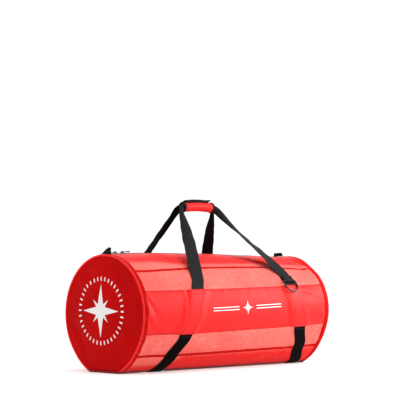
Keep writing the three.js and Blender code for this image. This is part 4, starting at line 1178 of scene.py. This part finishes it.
u, v = np.meshgrid(np.linspace(-1, 1, 60), np.linspace(-1, 1, 21), indexing="ij")
point_end = smooth((u - 0.55) / 0.45)
spread_here = CLOSURE_SPREAD / 2 * (1 - 0.62 * point_end) * (1 - 0.12 * smooth((-0.9 - u) / 0.1))
x = GRIP_SHIFT + u * CLOSURE_LENGTH / 2 + 1.5
lift = 1.0 + 3.0 * smooth((u - 0.5) / 0.5) ** 1.5 + 0.25 * puckers(x * 2, 1)
reach = WRAP_INNER + WRAP_WALL + BUTT_GAP + 0.9 + lift - 1.3 * np.abs(v) ** 3 * (1 - point_end)
outer = round_grip(x, 90 + v * spread_here, reach + CLOSURE_WALL * (1 - 0.4 * np.abs(v) ** 4))
inner = round_grip(x, 90 + v * spread_here, reach)
place = np.stack([x, np.radians(v * CLOSURE_SPREAD / 2) * 18], -1)
make_wall("grip_flap", outer, inner, closure_black, "closure", ["grip_closure"], place=place)

# %% [markdown]
# The zip lies under the two facings: a woven tape, a coil of plastic teeth, and two metal sliders that
# meet near the left end. The teeth repeat hundreds of times, so one tooth is modelled from a cube with
# bevelled edges, and then copied along both sides of the zip, half a step apart. Metal parts are
# started from primitives too: cut with Bisect, opened with Inset and Bridge, and softened with a Bevel
# modifier that is applied. Their places come from the CAD model's own hinges.

# %% Finishes of the zip and the ring
zip_black = web_finish("zip_tape_weave", 1.1 * MM, (0.004, 0.004, 0.0045), (0.010, 0.010, 0.011), 0.06)
coil_black = Finish("zip_coil", (0.013, 0.013, 0.015), 0.35, **{"Specular IOR Level": 0.5})
shade = coil_black.ramp(coil_black.noise(300, 3), 0.35, 0.7)
coil_colour = coil_black.mix(shade, (0.01, 0.01, 0.011), (0.022, 0.022, 0.025))
coil_black.set(Base_Color=coil_colour, Roughness=shade * 0.2 + 0.3)
coil_black.bump(shade, 0.0001, 0.3)


def metal_finish(name, dark, bright, metallic, rough):
    """Plated metal, rubbed bright in places and finely scratched."""
    finish = Finish(name, dark, rough, **{"Metallic": metallic, "Coat Weight": 0.1, "Coat Roughness": 0.2})
    rubbed = finish.ramp(finish.noise(160, 5), 0.42, 0.72)
    scratches = finish.noise(700, 2, (1, 6, 1))
    finish.set(
        Base_Color=finish.mix(rubbed, dark, bright),
        Roughness=rubbed * -0.1 + scratches * 0.16 + rough,
    )
    return finish.bump(scratches, 0.00008, 0.35)


slider_metal = metal_finish("slider_metal", (0.006, 0.006, 0.007), (0.11, 0.11, 0.12), 0.75, 0.28)
ring_metal = metal_finish("ring_metal", (0.003, 0.003, 0.0035), (0.07, 0.07, 0.075), 0.6, 0.22)


# %% Helpers for hard pieces
def add_block(size, place=(0, 0, 0)):
    """A block of a size in millimetres, with its scale applied."""
    bpy.ops.mesh.primitive_cube_add(size=1, location=[v * MM for v in place], scale=[v * MM for v in size])
    bpy.ops.object.transform_apply(location=True, rotation=True, scale=True)
    return bpy.context.object


def pick_faces(piece, test):
    """Goes into edit mode with the faces selected whose middle (mm) and normal pass a test."""
    bpy.ops.object.mode_set(mode="EDIT")
    bpy.ops.mesh.select_mode(type="FACE")
    mesh = bmesh.from_edit_mesh(piece.data)
    for face in mesh.faces:
        face.select_set(bool(test(face.calc_center_median() / MM, face.normal)))
    bmesh.update_edit_mesh(piece.data)


def pick_points(piece, test):
    bpy.ops.object.mode_set(mode="EDIT")
    bpy.ops.mesh.select_mode(type="VERT")
    mesh = bmesh.from_edit_mesh(piece.data)
    for vertex in mesh.verts:
        vertex.select_set(bool(test(vertex.co / MM)))
    mesh.select_flush_mode()
    bmesh.update_edit_mesh(piece.data)


def resize_points(piece, test, value, centre=(0, 0, 0)):
    """Scales the points that pass a test, about a centre in millimetres."""
    pick_points(piece, test)
    bpy.ops.transform.resize(value=value, center_override=[v * MM for v in centre])


def cut(piece, place, normal):
    bpy.ops.object.mode_set(mode="EDIT")
    bpy.ops.mesh.select_all(action="SELECT")
    bpy.ops.mesh.bisect(plane_co=[v * MM for v in place], plane_no=normal)


def soften(piece, width, segments=2):
    """Rounds every sharp edge of a piece with a Bevel modifier, which is applied."""
    bpy.ops.object.mode_set(mode="OBJECT")
    bevel = piece.modifiers.new("soften", "BEVEL")
    bevel.width, bevel.segments, bevel.limit_method = width * MM, segments, "ANGLE"
    bpy.ops.object.modifier_apply(modifier=bevel.name)


def merge(pieces):
    bpy.ops.object.mode_set(mode="OBJECT")
    bpy.ops.object.select_all(action="DESELECT")
    for piece in pieces:
        piece.select_set(True)
    bpy.context.view_layer.objects.active = pieces[0]
    bpy.ops.object.join()
    return bpy.context.object


def seat(place, along, up):
    """The place and turn of a small piece: its X along, its Z as near to up as it can be."""
    along = unit(np.array(along, float))
    up = unit(up - along * np.dot(up, along))
    turn = Matrix(np.stack([along, np.cross(up, along), up], 1).tolist()).to_4x4()
    return Matrix.Translation(Vector(place) * MM) @ turn


def place_piece(piece, name, matrix, finish, slot, nodes, body="root", sharp=35):
    """Puts a finished piece at its seat, with its place in its mesh."""
    piece.name = piece.data.name = name
    piece.data.transform(matrix)
    piece.data.materials.clear()
    piece.data.materials.append(finish.material)
    return settle(piece, slot, nodes, body, sharp)


# %% Zip tape and coil
ZIP_TAPE_WIDTH, TAPE_OUTER, CHAIN_OUTER = 30.0, -1.5, 1.8
TAPE_SIDE = arc(ZIP_TAPE_WIDTH / 2)
lengthways(
    "zip_weave", 90 - TAPE_SIDE, 90 + TAPE_SIDE, zip_black, "zip_tape", "zip_tape", 15,
    rise=lambda x, angle: TAPE_OUTER,
)

TOOTH_STEP, TOOTH_ASIDE = 2.4, 1.45
TOOTH_SIZE, TOOTH_BEVEL = (1.75, 5.4, 2.7), 0.62
tooth = add_block(TOOTH_SIZE)
bpy.ops.object.mode_set(mode="EDIT")
bpy.ops.mesh.select_all(action="SELECT")
bpy.ops.mesh.bevel(offset=TOOTH_BEVEL * MM, segments=1, affect="EDGES")
resize_points(tooth, lambda at: at.y > 1.5, (0.72, 1, 0.8), (0, 2, -0.6))
bpy.ops.object.mode_set(mode="OBJECT")
tooth_mesh = bmesh.new()
tooth_mesh.from_mesh(tooth.data)
bmesh.ops.triangulate(tooth_mesh, faces=tooth_mesh.faces)
tooth_points = np.array([v.co for v in tooth_mesh.verts]) / MM
tooth_faces = np.array([[v.index for v in f.verts] for f in tooth_mesh.faces])
tooth_mesh.free()
bpy.data.objects.remove(tooth)


def cloth_frame(x, angle, offset):
    """Places on the bag with their directions along it, round it and outwards."""
    here = skin(x, angle, offset)
    along = unit(skin(x + 2.0, angle, offset) - skin(x - 2.0, angle, offset))
    around = skin(x, angle + 0.5, offset) - skin(x, angle - 0.5, offset)
    out = unit(np.cross(around, along))
    radial = (here - (0, 0, AXIS_HEIGHT)) * (0, 1, 1)
    out *= np.sign(np.einsum("...i,...i->...", out, radial))[..., None]
    return here, along, out


TABS = {"left": (-0.955 * HALF, 21.0), "right": (0.9 * HALF, 12.0)}  # place along the zip, and height
CHAIN_PAST_TAB = 11.6
CHAIN_MIDDLE = (TAPE_OUTER + CHAIN_OUTER) / 2 + 0.1
coil_points, coil_faces, count = [], [], 0
for side in (-1, 1):
    start = TABS["left"][0] + CHAIN_PAST_TAB + (TOOTH_STEP / 2 if side > 0 else 0)
    x = np.arange(start, TABS["right"][0] - CHAIN_PAST_TAB, TOOTH_STEP)
    angle = np.full(len(x), ZIP_ANGLE + side * arc(TOOTH_ASIDE))
    here, along, out = cloth_frame(x, angle, CHAIN_MIDDLE)
    axes = np.stack([along, np.cross(out, along), out], 1)
    local = tooth_points * (1, side, 1)
    coil_points.append((here[:, None] + local @ axes).reshape(-1, 3))
    firsts = count + len(local) * np.arange(len(x))[:, None, None]
    coil_faces.append((tooth_faces[None, :, ::side] + firsts).reshape(-1, 3))
    count += len(local) * len(x)
coil_points, coil_faces = np.concatenate(coil_points), np.concatenate(coil_faces)
make_piece("zip_teeth", coil_points, coil_faces, coil_black, "zip_chain", ["zip_chain"])

# %% Sliders and pulls
SLIDER_LENGTH, SLIDER_WIDTH, SLIDER_WALL = 17.0, 13.5, 2.0
BRIDGE_SIZE, BRIDGE_HEIGHT, BRIDGE_FRAME = (8.4, 5.0, 5.4), 3.8, 1.35
PULL_LENGTH, PULL_WIDTH, PULL_WALL, PULL_BAR, PULL_WINDOW = 30.0, 9.5, 1.6, 2.0, 8.0
PULL_FRAME, PULL_PAST_WINDOW, PULL_TIP = 1.9, 1.6, 4.0
PULL_THICKER, PULL_HOLLOW, PULL_LIP = 2.8, 0.35, 1.5  # its grip: how much thicker, and its sunk faces
BAR_HEIGHT = 3.7
hinges = {joint["name"]: joint for joint in frame["record"]["behaviour"]["joints"]}


def slider_piece():
    """A plate with a narrow nose, and a bridge over it with a window through it."""
    plate = add_block((SLIDER_LENGTH, SLIDER_WIDTH, SLIDER_WALL), (0, 0, SLIDER_WALL / 2))
    cut(plate, (-2.5, 0, 0), (1, 0, 0))
    resize_points(plate, lambda at: at.x < -8, (1, 0.6, 1))
    resize_points(plate, lambda at: at.x > 8, (1, 0.75, 1))
    soften(plate, 0.5)
    bpy.ops.object.select_all(action="DESELECT")
    bridge = add_block(BRIDGE_SIZE, (0, 0, BRIDGE_HEIGHT))
    pick_faces(bridge, lambda at, normal: abs(normal.y) > 0.9)
    bpy.ops.mesh.inset(thickness=BRIDGE_FRAME * MM, use_individual=True)
    bpy.ops.mesh.bridge_edge_loops()
    resize_points(bridge, lambda at: at.z > 6, (0.62, 1, 1))
    soften(bridge, 0.4)
    return merge([plate, bridge])


def pull_piece():
    """A bar, a window, and a thicker grip with a sunk face on both sides."""
    length = PULL_LENGTH + PULL_BAR / 2
    root_end, tip = PULL_BAR / 2 + PULL_WINDOW + PULL_PAST_WINDOW, PULL_LENGTH - PULL_TIP
    pull = add_block((length, PULL_WIDTH, PULL_WALL), (length / 2 - PULL_BAR / 2, 0, 0))
    cut(pull, (root_end, 0, 0), (1, 0, 0))
    cut(pull, (tip, 0, 0), (1, 0, 0))
    pick_faces(pull, lambda at, normal: abs(normal.z) > 0.9 and at.x < root_end)
    bpy.ops.mesh.inset(thickness=PULL_FRAME * MM, use_individual=True)
    bpy.ops.mesh.bridge_edge_loops()
    resize_points(pull, lambda at: at.x > root_end + 0.5, (1, 1, PULL_THICKER))
    resize_points(pull, lambda at: at.x > PULL_LENGTH - 1, (1, 0.45, 0.7))
    for side in (1, -1):
        pick_faces(pull, lambda at, normal: normal.z * side > 0.9 and root_end < at.x < tip)
        bpy.ops.mesh.inset(thickness=PULL_LIP * MM)
        bpy.ops.transform.translate(value=(0, 0, -side * PULL_HOLLOW * MM))
    soften(pull, 0.3)
    return pull


for end, sign in (("left", -1), ("right", 1)):
    hinge = hinges[f"pull_{end}_hinge"]
    bar = np.array(hinge["pos_m"]) / MM
    around = np.array(hinge["axis"])
    before, after = (skin(bar[0] + half * SLIDER_LENGTH / 2, ZIP_ANGLE, folded=False) for half in (-1, 1))
    along = unit(after - before) * sign
    up = np.cross(around, along)
    up *= np.sign(up[2])
    at_bar = seat(bar, along, up)
    foot = seat(bar - unit(up) * BAR_HEIGHT, along, up)
    bpy.ops.object.select_all(action="DESELECT")
    place_piece(slider_piece(), f"{end}_slider", foot, slider_metal, "slider_metal", [f"zip_slider_{end}"])
    bpy.ops.object.select_all(action="DESELECT")
    node, body = f"zip_pull_{end}", f"pull_{end}"
    place_piece(pull_piece(), f"{end}_pull", at_bar, slider_metal, "slider_metal", [node], body)

# %% [markdown]
# Folded tabs of the same webbing stand at both ends of the zip, to hold on to while the zip is pulled. A
# tab is a strip that goes up, over and down again, so its line is written as a path and given a wall. The
# left one is tall, leans over, and is pinched into a curved fin. The D-ring hangs in a short roll of
# webbing that is sewn on the front right web. Its wire starts as a circle: half of it is flattened into
# the bar, the rest is pulled down, and a round bevel makes it a wire.

# %% Tabs
TAB_WIDTH, TAB_WALL, TAB_LOOP, TAB_FOOT = 34.0, 1.6, 4.0, 9.0


def folded_strip(name, path, wall, width, matrix, shape, finish, slot, node):
    """A strip of webbing that follows a path of (along, up) in millimetres, bent further by a shape."""
    path = np.array(path, float)
    tangent = unit(np.gradient(path, axis=0))
    normal = np.stack([-tangent[:, 1], tangent[:, 0]], -1)
    across = np.linspace(-0.5, 0.5, 13)
    faces = []
    for side in (0.5, -0.5):
        line = path + normal * wall * side
        grid = np.stack(np.broadcast_arrays(line[:, None, 0], across[None] * width, line[:, None, 1]), -1)
        faces.append(shape(grid.copy()))
    place = strip_place(path, across * width)
    turn = np.array(matrix)
    placed = [(grid @ turn[:3, :3].T) + turn[:3, 3] / MM for grid in faces]
    return make_wall(name, placed[0], placed[1], finish, slot, [node], place=place)


def tab_path(height):
    reach, half_wall = TAB_LOOP / 2 + TAB_WALL / 2, TAB_WALL / 2
    top = height - reach - half_wall
    left = [(-reach - TAB_FOOT * (1 - t), half_wall) for t in np.linspace(0, 0.85, 5)]
    rise = [(t, half_wall + 0.4 + (top - half_wall) * t) for t in np.linspace(0.02, 1, 8)]
    up = [(-reach - 0.9 * (1 - t) ** 3, z) for t, z in rise]
    over = [(-reach * math.cos(t), top + reach * math.sin(t)) for t in np.linspace(0.3, math.pi - 0.3, 7)]
    return left + up + over + [(-a, b) for a, b in reversed(up)] + [(-a, b) for a, b in reversed(left)]


def tab_shape(height, lean, pinch, curl):
    def shape(grid):
        rise = np.clip(grid[..., 2] / height, 0, 1.2)
        side = grid[..., 1] / TAB_WIDTH * 2
        grid[..., 0] += lean * rise**2 + curl * rise * side**2
        grid[..., 1] = grid[..., 1] * (1 - pinch * rise**1.3) - lean * rise**2
        grid[..., 2] -= 2.2 * pinch * side**2 * rise
        return grid
    return shape


TAB_SHAPES = {"left": (6.0, 0.76, 2.5), "right": (-1.0, 0.08, 0.8)}  # lean, pinch and curl
for end, (x, height) in TABS.items():
    matrix = seat(*cloth_frame(np.array(x), np.array(ZIP_ANGLE), PLY_GAP + BUTT_GAP))
    name, node, shape = f"{end}_zip_tab", f"zip_end_tab_{end}", tab_shape(height, *TAB_SHAPES[end])
    folded_strip(name, tab_path(height), TAB_WALL, TAB_WIDTH, matrix, shape, web_black, "webbing", node)

# %% D-ring
RING_WIRE, RING_WIDTH, RING_DROP, RING_REST, BOW_DEPTH = 5.0, 60.0, 44.0, 3.0, 0.75
ROLL_MIDDLE, ROLL_WALL, ROLL_WIDTH, ROLL_TAIL = 3.35, 1.2, 46.0, 20.0
hinge = hinges["ring_hinge"]
ring_place = np.array(hinge["pos_m"]) / MM
ring_angle = math.radians(31.0)
ring_out = np.array([0, -math.cos(ring_angle), math.sin(ring_angle)])
ring_seat = seat(ring_place, -np.array(hinge["axis"]), ring_out)

side = RING_WIDTH / 2 - RING_WIRE / 2
straight = RING_DROP - RING_WIRE - side * BOW_DEPTH
bpy.ops.object.select_all(action="DESELECT")
bpy.ops.mesh.primitive_circle_add(vertices=88, radius=side * MM)
ring = bpy.context.object
resize_points(ring, lambda at: at.y < -1e-3, (1, BOW_DEPTH, 1))
bpy.ops.transform.translate(value=(0, -straight * MM, 0))
resize_points(ring, lambda at: at.y >= -1e-3 and abs(at.x) < side - 0.05, (1, 0, 1))
bpy.ops.mesh.select_all(action="SELECT")
bpy.ops.mesh.vertices_smooth(factor=0.5, repeat=2)
bpy.ops.object.mode_set(mode="OBJECT")
bpy.ops.object.convert(target="CURVE")
ring.data.bevel_depth, ring.data.bevel_resolution = RING_WIRE / 2 * MM, 4
bpy.ops.object.convert(target="MESH")
ring_turn = ring_seat @ Matrix.Rotation(math.radians(-RING_REST), 4, "X")
place_piece(bpy.context.object, "ring_wire", ring_turn, ring_metal, "ring_metal", ["d_ring"], "ring", 80)

roll = [(ROLL_TAIL * (1 - t), -ROLL_MIDDLE) for t in np.linspace(0, 0.95, 9)]
roll += [(-ROLL_MIDDLE * math.sin(t), -ROLL_MIDDLE * math.cos(t)) for t in np.linspace(0, math.pi, 19)]
ROLL_CLOSING = 2 * ROLL_MIDDLE - ROLL_WALL - 0.2
roll += [(ROLL_TAIL * t, ROLL_MIDDLE - ROLL_CLOSING * smooth(t / 0.6)) for t in np.linspace(0.05, 1, 14)]
turned_seat = ring_seat @ Matrix.Rotation(math.radians(90), 4, "Z")


def roll_shape(grid):
    side = grid[..., 1] / ROLL_WIDTH * 2
    grid[..., 1] *= 1 - 0.03 * np.clip(grid[..., 0] / ROLL_TAIL, 0, 1)
    grid[..., 2] -= 0.25 * np.abs(side) ** 6 * (grid[..., 2] > 0)
    return grid


folded_strip(
    "ring_roll", roll, ROLL_WALL, ROLL_WIDTH, turned_seat, roll_shape, web_black, "webbing", "d_ring_tab",
)

# %% [markdown]
# Every seam shows its thread. A stitch is a small bead of thread, pulled into the cloth at both ends, so
# each one is an eight-faced bead that lies along its row. Rows run along the panels, the facings, the seam
# tapes and the end bands, beside the webs where a panel is sewn down over them, and across the webs where
# they come out from under a panel. The red thread is duller and much deeper than the cloth: its own colour
# with painted shade of the dimple that each stitch pulls into the cloth, so that its rows show. Stitches
# are plain geometry: a bump would be lost at the edge of a web.

# %% Stitching
STITCH_STEP, STITCH_LENGTH, STITCH_WIDTH, STITCH_HEIGHT = 4.0, 3.6, 1.7, 0.42
STITCH_SINK, STITCH_ROOT, ON_CLOTH = 0.12, 0.25, 0.05  # how deep its ends and foot go; its row's height


def thread_finish(name, colour, light):
    finish = Finish(name, colour, 0.5, **{"Specular IOR Level": 0.03})
    fibre = finish.ramp(finish.noise(900, 3), 0.4, 0.7)
    finish.set(Base_Color=finish.mix(fibre, colour, light), Roughness=fibre * 0.15 + 0.42)
    return finish.bump(fibre, 0.0001, 0.4)


# Partly painted shade: the red thread is darker than real thread, to carry the shade of each stitch's dimple.
red_thread_and_dimple_shade = thread_finish("red_thread_and_dimple_shade", (0.12, 0.001, 0.001), (0.20, 0.003, 0.003))
black_thread = thread_finish("black_thread", (0.012, 0.012, 0.012), (0.04, 0.04, 0.042))


def stitch_row(x, angle, offset):
    """Beads along a line on the bag: their middles, and their directions along, aside and out."""
    x, angle, offset = np.broadcast_arrays(*(np.asarray(v, float) for v in (x, angle, offset)))
    here, _, out = cloth_frame(x, angle, offset)
    here = np.stack([here[:, 0], here[:, 1], np.maximum(here[:, 2], 0.3)], -1)
    return row_on(here, out)


def row_on(here, out):
    run = length_along(here)
    stops = np.arange(STITCH_STEP / 2, run[-1], STITCH_STEP)

    def read(values, at):
        return np.stack([np.interp(at, run, values[:, i]) for i in range(3)], -1)

    middle = read(here, stops)
    along = unit(read(here, stops + 0.5) - middle)
    beside = unit(np.cross(read(out, stops), along))
    return middle, along, beside, np.cross(along, beside)


def stitches(name, rows_of_thread, finish, slot):
    middle, along, beside, up = (np.concatenate(part) for part in zip(*rows_of_thread))
    ahead, beside = along * STITCH_LENGTH / 2, beside * STITCH_WIDTH / 2
    sunk = middle - up * STITCH_SINK
    top, foot = middle + up * STITCH_HEIGHT, middle - up * STITCH_ROOT
    beads = np.stack([sunk + ahead, middle + beside, sunk - ahead, middle - beside, top, foot], 1)
    round_corners = [(i, (i + 1) % 4) for i in range(4)]
    pattern = np.array([(a, b, 4) for a, b in round_corners] + [(b, a, 5) for a, b in round_corners])
    faces = (pattern[None] + 6 * np.arange(len(beads))[:, None, None]).reshape(-1, 3)
    make_piece(name, beads.reshape(-1, 3), faces, finish, slot, sharp=80)


TWIN_ROWS = [(edge, inset) for edge in (-1, 1) for inset in (2.8, 5.6)]  # a twin needle sews two at once
FACING_ROWS, BAND_ROWS = (ZIP_EDGE - arc(2.4), FACING_ANGLE + arc(3.0)), (2.6, 10.4)
TAPE_INSET, TACKS = 1.5, (23.2, 23.9, -23.6, -24.3)  # tacks hold the webs where they leave the panels
PANEL_RUN = np.linspace(-PANEL_ANGLE + 2.2, PANEL_ANGLE - 2.2, 80)
length_run = np.linspace(-MESH_END + 2, MESH_END - 2, 300)
red_rows = []


def sew(x, angle, rise=0):
    red_rows.append(stitch_row(x, angle, rise + ON_CLOTH))


for side, middle in (("front", 0), ("rear", 180)):
    rise = panel_rise(side)
    for edge, inset in TWIN_ROWS:
        angle = middle + edge * (PANEL_ANGLE - arc(inset - 1)) + PATTERN_ROLL
        sew(length_run, angle, rise(length_run, angle))
    for end in ("left", "right"):
        for edge, inset in TWIN_ROWS:
            angle = middle + PANEL_RUN + PATTERN_ROLL
            x = web_middle(side, end, angle) + edge * (WEB_WIDTH / 2 - inset)
            sew(x, angle, rise(x, angle))
for turned in (lambda a: a, lambda a: 180 - a):
    for angle in FACING_ROWS:
        sew(length_run, turned(angle) + PATTERN_ROLL)
for middle in SEAMS.values():
    for edge in (-1, 1):
        angle = middle + edge * (TAPE_HALF - arc(TAPE_INSET)) + PATTERN_ROLL
        sew(length_run, angle, tape_rise(length_run, angle))
around = np.linspace(-64, 244, 340)
for end in (-1, 1):
    for away in BAND_ROWS:
        sew(end * (CLOTH_END - away), around, 0.4)
stitches("cloth_stitches", red_rows, red_thread_and_dimple_shade, "trim")

black_rows = []
for side, end in ROUTE:
    for tack in TACKS:
        angle = (tack if side == "front" else 180 - tack) + PATTERN_ROLL
        x = web_middle(side, end, angle) + np.linspace(-21, 21, 20)
        black_rows.append(stitch_row(x, angle, WEB_OUTER + ON_CLOTH))
turns = np.linspace(0, 360, 90)
for sign in (-1, 1):
    for along in (2.2, 5.2):
        x = np.full(90, GRIP_SHIFT + sign * (GRIP_HALF - BINDING_WIDTH + along))
        out = np.stack([0 * turns, np.cos(np.radians(turns)), np.sin(np.radians(turns))], -1)
        black_rows.append(row_on(round_grip(x, turns, WRAP_INNER + 4.45), out))
tail = np.linspace(-ROLL_WIDTH / 2 + 3, ROLL_WIDTH / 2 - 3, 30)
for away in (13.0, 17.5):
    local = np.stack([tail, 0 * tail + away, 0 * tail - ROLL_MIDDLE + 2 * ROLL_WALL - 0.35], -1)
    turn = np.array(ring_seat)
    here = local @ turn[:3, :3].T + turn[:3, 3] / MM
    black_rows.append(row_on(here, np.broadcast_to(turn[:3, 2], here.shape)))
stitches("web_stitches", black_rows, black_thread, "webbing")

# %% [markdown]
# Last, the box of all that is shown is measured again. The picture may show cloth that stands a little
# proud, but not a bigger bag, so both boxes are kept side by side, and the new one is printed.

# %% Finish
low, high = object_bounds()
sizes = {"cad": [list(corner) for corner in cad_box], "visual": [list(low), list(high)]}
print("visual box", sizes["visual"])
